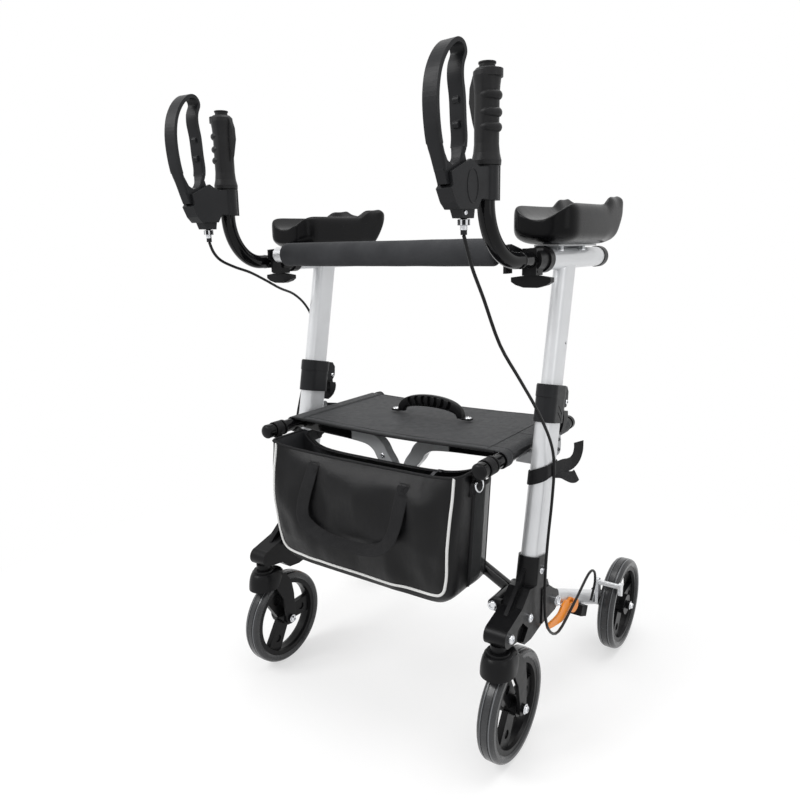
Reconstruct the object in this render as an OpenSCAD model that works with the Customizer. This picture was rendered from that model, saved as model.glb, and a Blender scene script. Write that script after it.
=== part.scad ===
// Upright walker with forearm pads: two side frames joined by a folding cross brace.
// X runs across the walker, the front with the handles faces -Y, Z is up, the floor is Z = 0.

/* [Side frames] */
// Half the distance between the two posts
track_half = 276; // [272:1:284]
// Height of the forearm tube's axis above the floor
arm_height = 866; // [850:1:890]
// Backward lean of the posts in degrees
post_lean = 11.5; // [10.5:0.25:12.5]
// Fore-aft place of the post axis where it is measured, at post_top_z
post_top_y = 18; // [14:1:22]
// Fore-aft depth of the lower post's oval section
post_depth = 62; // [58:1:64]
// Width of the lower post's oval section
post_width = 32; // [30:0.5:33]
// Wall of the post tubes
tube_wall = 2.5; // [2:0.1:3]

/* [Forearm arms] */
// Diameter of the fore-aft forearm tube
arm_d = 36; // [34:0.5:38]
// Diameter of the bent handle tube
handle_d = 25.4; // [24:0.2:26]
// Inward turn of the handles in degrees
toe_in = 6; // [3:0.5:7]
// Radius of the handle tube's bend at its axis
bend_r = 84; // [76:1:89]
// Length of a forearm pad
pad_length = 266; // [250:2:284]
// Width of a forearm pad
pad_width = 110; // [100:1:114]
// Height of a pad's side lips above its base
pad_lip = 69; // [62:1:74]
// Diameter of the foam cross bar
bar_d = 44; // [38:1:48]

/* [Wheels] */
// Diameter of the front and rear wheels
wheel_d = 200; // [194:1:202]
// Width of a tyre
tyre_width = 33; // [30:0.5:34]
// Distance the caster wheel trails behind its stem
caster_trail = 50; // [44:1:54]
// Fore-aft place of the rear axle
rear_axle_y = 286; // [276:1:292]
// Distance of a rear wheel's middle plane outside its leg
rear_offset = 46; // [45.5:0.5:50]

/* [Seat and brace] */
// Distance of a seat rail's axis inside the post's
rail_inset = 38; // [37:0.5:42]
// Height of the seat rail axes
rail_z = 536; // [526:1:544]
// Diameter of a seat rail
rail_d = 25; // [24:0.2:25.4]
// Distance of a lower brace pivot inside the post's axis
pin_inset = 32; // [31:0.5:35]
// Height of the lower brace pivots above the caster's crown
pin_rise = 54; // [52:0.5:57]
// Front edge of the seat
seat_front = -149; // [-155:1:-145]
// Depth of the seat
seat_depth = 279; // [265:1:285]

/* [Bag] */
// Height of the bag's rim
bag_top = 526; // [516:1:530]
// Height of the bag's bottom
bag_bottom = 292; // [288:1:306]
// Distance of the bag's ends inside the seat rails
bag_inset = 25; // [23:1:36]

/* [Hidden] */
$fn = 64;

// Clearances: seated pieces of one body, running shafts, pieces of different bodies
seat_gap = 0.05;
run_gap = 0.05;
body_gap = 0.4;

post_top_z = 866;
post_head_z = 626;
collar_z = 584;
collar_top_z = 649;
lever_pin_y = 46;
lever_pin_z = 37;
upper_foot_z = 440;
upper_depth = post_depth - 2 * tube_wall - 2 * 0.3;
upper_width = post_width - 2 * tube_wall - 2 * 0.3;

arm_front = -85;
arm_back = 167;
cap_long = 18;
clamp_front = -132;
clamp_back = -94;
kink_y = -164;
handle_back = -10;
riser = 95;
grip_low = 132;
grip_high = 265;
lever_y = -154;
lever_z = 100;
ferrule_y = -148;

wheel_r = wheel_d / 2;
axle_d = 10;
stem_y = -219;
stem_d = 12;
caster_y = stem_y + caster_trail;
crown_z = wheel_d + 31;
post_foot_z = crown_z + 31;
post_len = (post_head_z - post_foot_z) / cos(post_lean);
fork_in = tyre_width / 2 + 2;

leg_y = -37;
leg_z = crown_z + 15;
leg_d = 32;
leg_drop = atan((leg_z - wheel_r) / (rear_axle_y - leg_y));
leg_len = (rear_axle_y - leg_y) / cos(leg_drop);
rear_x = track_half + rear_offset;
shoe_turn = atan(38.5 / 102.5);
shoe_reach = wheel_r + norm([38.5, 102.5]) - 100;
bar_s = leg_len - shoe_reach * cos(shoe_turn);
bar_n = shoe_reach * sin(shoe_turn);
brake_s = bar_s + 24.5;

rail_half = track_half - rail_inset;
pin_half = track_half - pin_inset;
pin_z = crown_z + pin_rise;
bag_half = rail_half - bag_inset;

brace_pin_d = 10;
brace_y_a = -83;
brace_y_b = -109;
brace_deep = 24;
brace_high = 20;
barrel_r = 11;
barrel_front = -168;
brace_rise = atan((rail_z - pin_z) / (rail_half + pin_half));
brace_lower = pin_half / cos(brace_rise);
brace_len = (rail_half + pin_half) / cos(brace_rise);
cross_z = pin_z + pin_half * tan(brace_rise);

rail_front = -221;
rail_back = 150;
hem_r = rail_d / 2 + body_gap + 3.3;
seat_top = rail_z + hem_r;
seat_back = seat_front + seat_depth;
notch_front = -127;
notch_back = -26;

bar_y = -162;
bar_z = arm_height + 13;
bar_half = track_half - 41;

pad_base = arm_height + arm_d / 2 + 5;
pad_front = -104;

// Cable routes from the housing's ferrule to the anchor under the rear leg
route_right = [
  [260.5, -311.2, 903.5], [262, -302, 881], [265, -293, 856], [271, -272, 815], [282, -241, 746], [292, -191, 686],
  [299, -140, 629], [304, -94, 568], [306, -78, 520], [306, -82, 458], [306, -95, 389], [307, -104, 330],
  [308, -104, 262], [308, -84, 212], [308, -36, 184], [308, 44, 208], [308, 116, 236], [308, 150, 228],
  [308, 158, 200], [307, 140, 166]
];
route_left = [
  [260.5, -311.2, 903.5], [262, -302, 886], [264, -284, 871], [268, -248, 858], [273, -207, 847], [279, -162, 830],
  [288, -113, 811], [297, -64, 796], [304, -22, 770], [306, 0, 736], [306, -10, 690], [306, -28, 620],
  [306, -58, 540], [306, -80, 458], [306, -95, 389], [307, -104, 330], [308, -104, 262], [308, -84, 212],
  [308, -36, 184], [308, 44, 208], [308, 116, 236], [308, 150, 228], [308, 158, 200], [307, 140, 166]
];
route_track = 276;
route_height = 866;
cable_r = 2.6;

function post_y(z) = post_top_y + (z - post_top_z) * tan(post_lean);
function unit(v) = v / norm(v);
function at(list, i) = list[min(max(i, 0), len(list) - 1)];
function spline(a, b, c, d, t) =
  0.5 * ((2 * b) + (c - a) * t + (2 * a - 5 * b + 4 * c - d) * t * t + (3 * b - a - 3 * c + d) * t * t * t);
function smooth(p, k) = [
  for (i = [0 : len(p) - 2])
    for (j = [0 : k - 1])
      spline(at(p, i - 1), p[i], p[i + 1], at(p, i + 2), j / k),
  p[len(p) - 1]
];
function ring(p, t, r, n) =
  let (u = unit(cross(t, [1, 0, 0])), v = cross(t, u))
    [for (k = [0 : n - 1]) p + r * (cos(360 * k / n) * u - sin(360 * k / n) * v)];
function power(v, e) = sign(v) * pow(abs(v), e);
function tube_faces(rings, n) = concat(
  [[for (k = [0 : n - 1]) n - 1 - k]],
  [
    for (i = [0 : rings - 2])
      for (k = [0 : n - 1])
        for (h = [0, 1])
          h == 0
          ? [i * n + k, i * n + (k + 1) % n, (i + 1) * n + (k + 1) % n]
          : [i * n + k, (i + 1) * n + (k + 1) % n, (i + 1) * n + k]
  ],
  [[for (k = [0 : n - 1]) (rings - 1) * n + k]]
);

module stadium(l, w) {
  square([w, l - w], center = true);
  translate([0, (l - w) / 2]) circle(d = w);
  translate([0, -(l - w) / 2]) circle(d = w);
}

module on_post(z) {
  translate([track_half, post_y(z), z]) rotate([-post_lean, 0, 0]) children();
}

module on_handle() {
  translate([track_half, kink_y, arm_height]) rotate([0, 0, -toe_in]) children();
}

module on_leg() {
  translate([track_half, leg_y, leg_z]) rotate([-leg_drop, 0, 0]) children();
}

module along_x(x0, w) {
  translate([x0, 0, 0]) rotate([90, 0, 90]) linear_extrude(w) children();
}

module along_y(y0, l) {
  translate([0, y0 + l, 0]) rotate([90, 0, 0]) linear_extrude(l) children();
}

module rod_x(x0, x1, y, z, d) {
  translate([x0, y, z]) rotate([0, 90, 0]) cylinder(d = d, h = x1 - x0);
}

module rod_y(x, y0, y1, z, d) {
  translate([x, y1, z]) rotate([90, 0, 0]) cylinder(d = d, h = y1 - y0);
}

// Lower post: an oval tube with a saddle on its inner side that the seat rail rests in
module post() {
  color("gainsboro") {
    difference() {
      on_post(post_foot_z) linear_extrude(post_len) stadium(post_depth, post_width);
      on_post(post_foot_z) translate([0, 0, -1]) linear_extrude(post_len + 2)
        stadium(post_depth - 2 * tube_wall, post_width - 2 * tube_wall);
    }
    difference() {
      translate([rail_half - 10, post_y(rail_z - 22) - 10, rail_z - 26])
        cube([track_half - post_width / 2 + tube_wall / 2 - rail_half + 10, 20, 20]);
      rod_y(rail_half, post_y(rail_z - 22) - 20, post_y(rail_z - 22) + 20, rail_z, rail_d + 2 * body_gap);
    }
  }
}

// Bottom bracket: post socket, caster arm to the front, leg clevis to the rear, brace lugs inside
module bracket(brace_y) {
  clevis_in = leg_d / 2 + 0.6;
  color("dimgray") difference() {
    union() {
      along_x(track_half - 20, 40) translate([0, crown_z]) {
        polygon([
          [stem_y, 10], [stem_y - 5, 43], [-172, 58], [-142, 81], [-66, 69], [-56, 49], [-56, -5], [-132, -17],
          [-160, -14], [-182, 5]
        ]);
        translate([stem_y, 27]) circle(r = 17);
      }
      translate([track_half, stem_y, crown_z]) cylinder(r = 14, h = 12);
      on_post(crown_z + 19) linear_extrude(103 / cos(post_lean)) stadium(post_depth + 8, post_width + 8);
      along_x(track_half - 3.5, 7) translate([0, crown_z])
        polygon([[post_y(crown_z + 118) - post_depth / 2, 115], [-196, 52], [-120, 52]]);
      for (s = [-1, 1]) {
        along_x(track_half + s * (clevis_in + 2.9) - 2.9, 5.8) {
          translate([leg_y, leg_z]) circle(r = 21);
          translate([0, leg_z])
            polygon([
              [s < 0 ? -68 : -92, s < 0 ? 42 : 46], [-62, 41], [leg_y + 4, 20.6], [leg_y + 4, -20.6],
              [s < 0 ? -68 : -92, -22]
            ]);
        }
      }
      for (y0 = [barrel_front - body_gap - 8, brace_y + brace_deep / 2 + body_gap]) {
        along_y(y0, 8) {
          translate([pin_half, pin_z]) circle(r = barrel_r);
          translate([pin_half, pin_z - barrel_r]) square([track_half - pin_half - 18, 2 * barrel_r]);
        }
      }
    }
    on_post(post_foot_z) linear_extrude(post_len)
      stadium(post_depth + 2 * seat_gap, post_width + 2 * seat_gap);
    translate([track_half, stem_y, crown_z - 6]) cylinder(d = stem_d + 2 * run_gap, h = 41);
    rod_x(track_half - 30, track_half + 30, leg_y, leg_z, axle_d + 2 * seat_gap);
    rod_x(track_half - clevis_in, track_half + clevis_in, leg_y, leg_z, 2 * (leg_d / 2 + 1.2));
    rod_y(pin_half, barrel_front - 30, brace_y + 40, pin_z, brace_pin_d + 2 * seat_gap);
    along_x(track_half + 12, 12) translate([0, crown_z])
      polygon([[-192, 7], [-164, -7], [-146, 11], [-168, 31], [-188, 27]]);
  }
}

// Bolts of one bracket: pivot pins and the heads on the outer face
module bolts(brace_y) {
  out = track_half + 20;
  pin_out = track_half + leg_d / 2 + 0.6 + 5.8;
  pin_in = track_half - leg_d / 2 - 0.6 - 5.8;
  color("silver") {
    rod_x(pin_in, pin_out, leg_y, leg_z, axle_d);
    rod_x(pin_out, pin_out + 4, leg_y, leg_z, 16);
    rod_x(pin_in - 4, pin_in, leg_y, leg_z, 16);
    rod_y(pin_half, barrel_front - body_gap - 8, brace_y + brace_deep / 2 + body_gap + 8, pin_z, brace_pin_d);
    rod_y(pin_half, barrel_front - body_gap - 13, barrel_front - body_gap - 8, pin_z, 17);
    rod_x(out, out + 3.5, post_y(crown_z + 97) + 7, crown_z + 97, 14);
    rod_x(out, out + 4, -146, crown_z + 31, 15);
    rod_x(out, out + 4, stem_y, crown_z + 27, 16);
  }
}

// Clamp collar on the head of the lower post
module collar() {
  h = (collar_top_z - collar_z) / cos(post_lean);
  step = (post_head_z - collar_z) / cos(post_lean);
  color("dimgray") difference() {
    union() {
      on_post(collar_z) linear_extrude(h) stadium(post_depth + 7, post_width + 7);
      on_post(collar_z) translate([0, 0, h - 22]) linear_extrude(20) stadium(post_depth + 10, post_width + 7.6);
      on_post(collar_z)
        for (x0 = [-12, 6.2])
          along_x(x0, 5.8) polygon([
            [28, h - 1], [44, h - 1], [53, h - 10], [55, lever_pin_z], [50, lever_pin_z - 9],
            [28, lever_pin_z - 12]
          ]);
    }
    on_post(collar_z) translate([0, 0, -1]) linear_extrude(step + 1)
      stadium(post_depth + 2 * seat_gap, post_width + 2 * seat_gap);
    on_post(collar_z) translate([0, 0, -1]) linear_extrude(h + 2)
      stadium(upper_depth + 2 * body_gap, upper_width + 2 * body_gap);
    on_post(collar_z) rod_x(-20, 20, lever_pin_y, lever_pin_z, 6 + 2 * run_gap);
    on_post(collar_z) translate([post_width / 2 + 2.4, -8, 18]) rotate([-38, 0, 0]) cube([4, 26, 2.2]);
    on_post(collar_z) translate([post_width / 2 + 2.4, -8, 30]) rotate([-38, 0, 0]) cube([4, 26, 2.2]);
  }
}

// Quick-release lever behind the collar: cam between the ears, broad curved paddle below them
module collar_lever() {
  color("dimgray") on_post(collar_z) {
    rod_x(-14, 14, lever_pin_y, lever_pin_z, 6);
    rod_x(-5.8, 5.8, lever_pin_y, lever_pin_z, 16);
    along_x(-5.8, 11.6) polygon([
      [lever_pin_y - 7, lever_pin_z], [lever_pin_y + 8, lever_pin_z], [59, 18], [40, 18]
    ]);
    along_x(-12, 24) polygon([
      [40, 21], [60, 21], [63, 14], [62, 4], [57, -6], [48, -14], [40, -18], [38, -16], [44, -6], [45, 6]
    ]);
  }
}

// Upper tube that slides in the post, with the fore-aft forearm tube across its top
module arm() {
  color("gainsboro") {
    difference() {
      union() {
        on_post(upper_foot_z) linear_extrude((arm_height - upper_foot_z) / cos(post_lean))
          stadium(upper_depth, upper_width);
        rod_y(track_half, arm_front, arm_back, arm_height, arm_d);
      }
      on_post(upper_foot_z) translate([0, 0, -1])
        linear_extrude((arm_height - upper_foot_z) / cos(post_lean) - 30)
          stadium(upper_depth - 2 * tube_wall, upper_width - 2 * tube_wall);
      rod_y(track_half, arm_front - 1, arm_back + 1, arm_height, arm_d - 2 * tube_wall);
      rod_x(track_half + 2, track_half + 40, post_y(arm_height - 146) + 10, arm_height - 146, 5);
    }
  }
}

// End cap, handle clamp and the holder of the cross bar on one forearm tube
module arm_fittings() {
  color("dimgray") {
    rod_y(track_half, arm_back, arm_back + cap_long, arm_height, arm_d + 3);
    rod_y(track_half, arm_back - 14, arm_back, arm_height, arm_d - 2 * tube_wall - 2 * seat_gap);
    difference() {
      union() {
        rod_y(track_half, clamp_back, arm_front + 8, arm_height, arm_d + 7);
        rod_y(track_half, clamp_front + 6, clamp_back, arm_height, handle_d + 12);
        translate([track_half - 12, clamp_front, arm_height - 24]) cube([24, 26, 42]);
        along_x(track_half - 27, 5) translate([0, arm_height])
          polygon([[-176, 4], [-176, 23], [-150, 25], [-78, 10], [-78, -8], [-128, -6]]);
        translate([track_half - 24, clamp_back, arm_height - 9]) cube([10, 16, 18]);
        rod_x(bar_half + 0.5, track_half - 25, bar_y, bar_z, 16);
        translate([track_half - 27, bar_y - 6, arm_height - 20]) cube([5, 22, 30]);
      }
      rod_y(track_half, clamp_front - 1, arm_front + 20, arm_height, handle_d + 2 * run_gap);
      rod_y(track_half, arm_front, arm_front + 30, arm_height, arm_d + 2 * seat_gap);
      translate([track_half, clamp_front + 13, arm_height - 25]) cylinder(d = 8 + 2 * run_gap, h = 9);
      rod_x(track_half - 5, track_half + 20, clamp_front + 5, arm_height - 18, 4);
    }
  }
}

// Wing knob under the handle clamp
module clamp_knob() {
  top = arm_height - 24 - body_gap;
  color("dimgray") translate([track_half, clamp_front + 13, 0]) {
    translate([0, 0, top - 4]) cylinder(d = 8, h = 11);
    along_y(-7, 14) polygon([
      [-34, top - 3], [-34, top - 10], [-26, top - 15], [-12, top - 19], [12, top - 19], [26, top - 15],
      [34, top - 10], [34, top - 3], [12, top], [-12, top]
    ]);
  }
}

// Bent handle tube: straight in the forearm tube, then turned in and swept upward
module handle() {
  color("black") {
    rod_y(track_half, kink_y, handle_back, arm_height, handle_d);
    on_handle() {
      sphere(d = handle_d + 1);
      rotate([90, 0, 0]) cylinder(d = handle_d, h = riser - bend_r);
      translate([0, bend_r - riser, bend_r]) rotate([0, 90, 0]) rotate([180, 0, 0])
        rotate_extrude(angle = 90) translate([bend_r, 0]) circle(d = handle_d);
      translate([0, -riser, bend_r]) cylinder(d = handle_d, h = grip_high - 18 - bend_r);
    }
  }
}

// Rubber grip with finger ridges at the rear and a palm fin at the front
module grip() {
  r = handle_d / 2 + 4.6;
  color("dimgray") on_handle() translate([0, -riser, 0]) difference() {
    union() {
      rotate_extrude() polygon([
        [0, grip_low], [r + 3.2, grip_low], [r + 3.6, grip_low + 6], [r + 1.2, grip_low + 16],
        [r, grip_low + 28],
        [r, grip_high - 42], [r + 0.8, grip_high - 30], [r + 2.2, grip_high - 18], [r + 1.8, grip_high - 12],
        [r - 2, grip_high - 8], [11, grip_high - 8], [11, grip_high - 2], [12.2, grip_high - 2],
        [12.2, grip_high], [0, grip_high]
      ]);
      for (z = [grip_low + 49, grip_low + 68, grip_low + 90])
        rotate(-97) translate([0, 5, z]) rotate_extrude() translate([r - 6.4, 0]) circle(r = 6.4);
      rotate(-92) translate([0, 5.5, grip_high - 20]) cylinder(r = r, h = 10);
      rotate(-90) along_x(-4, 8) polygon([
        [-r + 2, grip_low + 40], [-r - 4, grip_low + 58], [-r - 10, grip_low + 84], [-r - 9, grip_high - 30],
        [-r - 4, grip_high - 15], [-r + 2, grip_high - 11]
      ]);
    }
    translate([0, 0, grip_low - 1]) cylinder(d = handle_d + 2 * seat_gap, h = grip_high - grip_low - 17 + 0.05);
  }
}

// Brake housing clamped below the grip, with cheeks for the lever and a ferrule for the cable
module brake_housing() {
  color("dimgray") on_handle() difference() {
    union() {
      translate([0, -riser, lever_z - 15]) cylinder(r = handle_d / 2 + 5.2, h = grip_low - lever_z + 14.6);
      translate([-13, -riser, lever_z - 15]) cube([26, 16, grip_low - lever_z + 14.6]);
      along_x(-13, 26) polygon([
        [-riser, 86], [-124, 86], [-134, 72], [-174, 71], [-184, 80], [-193, 97], [-189, 101], [-193, 117],
        [-150, 136], [-130, 127], [-riser, grip_low - 1]
      ]);
      along_x(-9, 18) polygon([[-134, 76], [-137, 60], [-162, 60], [-170, 76]]);
      along_x(12.5, 1.3) translate([-145, 102]) difference() {
        polygon([for (k = [0 : 35]) [13 * cos(10 * k), 23 * sin(10 * k)]]);
        polygon([for (k = [0 : 35]) [11.6 * cos(10 * k), 21.6 * sin(10 * k)]]);
      }
      translate([0, ferrule_y, 38]) cylinder(d = 9, h = 24);
      translate([0, ferrule_y, 51]) cylinder(d = 16, h = 7);
    }
    translate([0, -riser, 40]) cylinder(d = handle_d + 2 * seat_gap, h = 120);
    along_x(-8.2, 16.4) polygon([
      [-215, 100.8], [-190, 100.8], [-178, 81], [-124, 81], [-124, 150], [-215, 150]
    ]);
    translate([0, ferrule_y, 30]) cylinder(d = 2 * cable_r + 0.8, h = 45);
    rod_x(-11.5, 11.5, lever_y, lever_z, 8 + 2 * run_gap);
  }
}

// Loop-shaped brake lever with its pivot pin: a band bent round the fingers, thick where it meets the pivot
module brake_lever() {
  p = closed(lever_loop, 5);
  color("dimgray") on_handle() {
    rod_x(-11.2, 11.2, lever_y, lever_z, 8);
    along_x(-7.6, 15.2) {
      translate([lever_y, lever_z]) circle(r = 17);
      polygon([
        [-203, 118], [-196, 101.6], [-188, 101.6], [-172, 88], [-146, 90], [-140, 104], [-149, 122],
        [-156, 142], [-170, 131], [-184, 126], [-194, 131], [-204, 146]
      ]);
      difference() {
        polygon([for (i = [0 : len(p) - 1]) shifted(p, i, 2.9)]);
        polygon([for (i = [0 : len(p) - 1]) shifted(p, i, -2.9)]);
      }
    }
    along_x(-11.6, 23.2) intersection() {
      difference() {
        polygon([for (i = [0 : len(p) - 1]) shifted(p, i, 2.9)]);
        polygon([for (i = [0 : len(p) - 1]) shifted(p, i, -2.9)]);
      }
      translate([-240, 150]) square([120, 150]);
    }
    for (z = [178, 208])
      rod_x(-4.5, 4.5, -163.5, z, 10);
  }
}

// Middle line of the lever's band, counted from the lowest point up the front and down the rear
lever_loop = [
  [-184, 122], [-200, 130], [-211, 150], [-217, 180], [-218, 210], [-212, 238], [-198, 261], [-180, 275],
  [-166, 275], [-160, 265], [-166, 250], [-167, 234], [-163, 212], [-161, 184], [-159, 158], [-166, 132]
];
function closed(p, k) = [
  for (i = [0 : len(p) - 1])
    for (j = [0 : k - 1])
      spline(p[(i + len(p) - 1) % len(p)], p[i], p[(i + 1) % len(p)], p[(i + 2) % len(p)], j / k)
];
function shifted(p, i, d) =
  let (n = len(p), t = unit(p[(i + 1) % n] - p[(i + n - 1) % n])) p[i] + d * [-t[1], t[0]];

// Moulded forearm gutter: rounded front with a dipping rim, straight side walls, raised rear corners
module pad() {
  n = 40;
  rows = [
    0, 0.008, 0.024, 0.05, 0.085, 0.13, 0.19, 0.27, 0.36, 0.45, 0.54, 0.61, 0.66, 0.7, 0.74, 0.78, 0.83, 0.87,
    0.9, 0.93, 0.955, 0.98, 1
  ];
  color("black") translate([track_half, pad_front, pad_base]) polyhedron(
    points = [
      for (u = rows)
        for (k = [0 : n - 1])
          pad_point(u, 360 * k / n)
    ],
    faces = tube_faces(len(rows), n)
  );
}

function ease(t) = let (c = min(max(t, 0), 1)) c * c * (3 - 2 * c);
function pad_span(u) =
  let (f = min(1, u * pad_length / 40))
    (0.45 + 0.55 * sqrt(max(0, 1 - (1 - f) * (1 - f))) - 0.1 * pow(max(0, (u - 0.94) / 0.06), 2))
      * (1 + 0.08 * u * u);
function pad_top(u) = pad_lip + 4 * u + 15 * ease((u - 0.65) / 0.15) - 9 * pow(max(0, (u - 0.95) / 0.05), 2);
function pad_low(u) = 13 * pow(max(0, 1 - u / 0.16), 2) + 60 * pow(max(0, (u - 0.87) / 0.13), 1.3);
function pad_floor(u) = 38 + 34 * pow(max(0, (u - 0.78) / 0.22), 1.6);
function pad_rim(u, x) =
  let (trough = pow(max(0, 1 - pow(x / (0.42 * pad_width), 2)), 0.9))
    pad_top(u) - (pad_top(u) - pad_floor(u)) * trough;
function pad_point(u, a) =
  let (
    half = pad_width / 2,
    low = pad_low(u),
    x = half * pad_span(u) * power(cos(a), 0.5) * (sin(a) < 0 ? 1 - 0.2 * power(-sin(a), 2) : 1),
    mid = (pad_rim(u, half * pad_span(u)) + low) / 2,
    end = sin(a) > 0 ? pad_rim(u, x) - mid : mid - low
  ) [x - 5 * u * u, u * pad_length, mid + end * power(sin(a), 0.45)];

// Silver plate and clips that carry the pad on the forearm tube
module pad_plate() {
  top = pad_base - 0.1;
  color("silver") difference() {
    union() {
      translate([track_half - 22, pad_front + 38, top - 2.6]) cube([44, pad_length - 92, 2.6]);
      for (y = [pad_front + 52, pad_front + 150])
        translate([track_half - 14, y, top - 12]) cube([28, 14, 11]);
      for (s = [-1, 1])
        for (y = [pad_front + 59, pad_front + 157])
          translate([track_half + s * 17, y, top - 8]) cylinder(d = 8, h = 7);
    }
    rod_y(track_half, arm_front - 10, arm_back + 20, arm_height, arm_d + 2 * seat_gap);
  }
}

// Swivelling caster fork: round hood under the crown ring, two curved legs down to the axle
module caster_fork() {
  wide = fork_in + 6;
  color("dimgray") difference() {
    union() {
      translate([track_half, stem_y, crown_z - 9]) cylinder(r = 20, h = 9 - body_gap);
      translate([track_half, stem_y, crown_z - 2]) cylinder(d = stem_d, h = 34);
      translate([track_half, stem_y, crown_z - 16]) cylinder(r = 24, h = 10);
      intersection() {
        along_x(track_half - wide, 2 * wide) polygon([
          [stem_y - 30, wheel_d - 12], [stem_y - 30, wheel_d + 6], [stem_y - 24, crown_z - 12],
          [stem_y + 22, crown_z - 10], [stem_y + 40, wheel_d + 10], [stem_y + 56, wheel_d - 12],
          [caster_y + 12, wheel_d - 44], [caster_y + 13, wheel_r + 30], [caster_y + 13, wheel_r - 20],
          [caster_y - 13, wheel_r - 20], [caster_y - 13, wheel_r + 14], [caster_y - 21, wheel_d - 45],
          [stem_y + 6, wheel_d - 4]
        ]);
        translate([0, 0, wheel_r - 13]) linear_extrude(wheel_d) {
          translate([track_half, stem_y]) circle(r = wide + 2);
          translate([track_half - wide, stem_y]) square([2 * wide, 140]);
        }
        union() {
          along_x(track_half - wide - 1, 2 * wide + 2) translate([caster_y, wheel_r]) circle(r = 13);
          translate([0, stem_y - 60, wheel_r]) cube([500, 240, 200]);
        }
      }
    }
    rod_x(track_half - fork_in, track_half + fork_in, caster_y, wheel_r, wheel_d + 6);
  }
  color("silver") {
    rod_x(track_half - fork_in - 10, track_half + fork_in + 10, caster_y, wheel_r, axle_d);
    rod_x(track_half + fork_in + 6, track_half + fork_in + 10, caster_y, wheel_r, 16);
    rod_x(track_half - fork_in - 10, track_half - fork_in - 6, caster_y, wheel_r, 16);
  }
}

// Wheel centre built about its own axis along Z: rim, nave and three broad spokes
module hub_body(rim_r, width, nave_r, nave_len, bore_d) {
  difference() {
    union() {
      rotate_extrude() polygon([
        [rim_r - 9, -width / 2], [rim_r, -width / 2], [rim_r, width / 2], [rim_r - 9, width / 2],
        [rim_r - 11, width / 2 - 6], [rim_r - 11, -width / 2 + 6]
      ]);
      translate([0, 0, -nave_len / 2]) cylinder(r = nave_r, h = nave_len);
      for (a = [90, 210, 330])
        rotate(a) translate([0, 0, -6]) linear_extrude(12)
          polygon([[nave_r - 4, -16], [rim_r - 10, -19], [rim_r - 10, 19], [nave_r - 4, 16]]);
    }
    translate([0, 0, -nave_len]) cylinder(d = bore_d, h = 2 * nave_len);
    for (a = [90, 210, 330])
      rotate(a) translate([0, 0, -20]) {
        translate([(rim_r + nave_r) / 2, 0, 0]) cylinder(r = 8, h = 16.5);
        translate([(rim_r + nave_r) / 2, 0, 23.5]) cylinder(r = 8, h = 16.5);
      }
  }
}

module tyre_body(rim_r) {
  w = tyre_width / 2;
  r = wheel_r;
  rotate_extrude() polygon([
    [rim_r + seat_gap, -w + 3], [rim_r + 4, -w], [r - 6, -w], [r - 2.4, -w + 2.6], [r - 0.6, -w + 6],
    [r - 0.2, -w + 9], [r - 1.4, -w + 9.6], [r - 1.4, -w + 10.8], [r - 0.1, -w + 11.4], [r, 0],
    [r - 0.1, w - 11.4], [r - 1.4, w - 10.8], [r - 1.4, w - 9.6], [r - 0.2, w - 9], [r - 0.6, w - 6],
    [r - 2.4, w - 2.6], [r - 6, w], [rim_r + 4, w], [rim_r + seat_gap, w - 3]
  ]);
}

module front_wheel_at() {
  translate([track_half, caster_y, wheel_r]) rotate([0, 90, 0]) children();
}

module rear_wheel_at() {
  translate([rear_x, rear_axle_y, wheel_r]) rotate([0, 90, 0]) children();
}

module front_hub() {
  color("black") front_wheel_at()
    hub_body(wheel_r - 16, tyre_width - 7, 17, 2 * fork_in - 1, axle_d + 2 * run_gap);
}

module rear_hub() {
  color("black") rear_wheel_at()
    hub_body(wheel_r - 16, tyre_width - 7, 22, tyre_width + 3, axle_d + 2 * run_gap);
}

module front_tyre() {
  color("dimgray") front_wheel_at() tyre_body(wheel_r - 16);
}

module rear_tyre() {
  color("dimgray") rear_wheel_at() tyre_body(wheel_r - 16);
}

// Folding rear leg tube, pivoted in the bracket's clevis
module rear_leg() {
  color("gainsboro") on_leg() difference() {
    union() {
      rod_x(-leg_d / 2, leg_d / 2, 0, 0, leg_d);
      rod_y(0, 0, leg_len - 17.3, 0, leg_d);
    }
    rod_y(0, 24, leg_len, 0, leg_d - 2 * tube_wall);
    rod_x(-20, 20, 0, 0, axle_d + 2 * run_gap);
  }
}

// Axle end, brake pivot, latch pivot and cable anchor fixed to the rear leg
module leg_fittings() {
  face = tyre_width / 2 + 2;
  color("dimgray") on_leg() {
    rod_x(-17, rear_offset - face - 0.6, leg_len, 0, 34);
    rod_y(0, leg_len - 34, leg_len - 14, 0, leg_d - 2 * tube_wall - 2 * seat_gap);
    rod_x(rear_offset - face - 1, rear_offset + face + 6, leg_len, 0, axle_d);
    rod_x(rear_offset + face + 0.6, rear_offset + face + 7, leg_len, 0, 19);
    difference() {
      union() {
        rod_x(4, 26, brake_s, 0, 8);
        rod_x(4, 18, brake_s, 0, 16);
        rod_x(25.2, 28, brake_s, 0, 13);
        rod_x(4, 24, 98, -6, 6);
        rod_x(4, 17, 98, -6, 12);
        rod_x(23.4, 26, 98, -6, 10);
        translate([-6, 164, -33]) cube([32, 34, 22]);
      }
      rod_y(0, -1, leg_len + 1, 0, leg_d + 2 * seat_gap);
    }
  }
}

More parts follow.
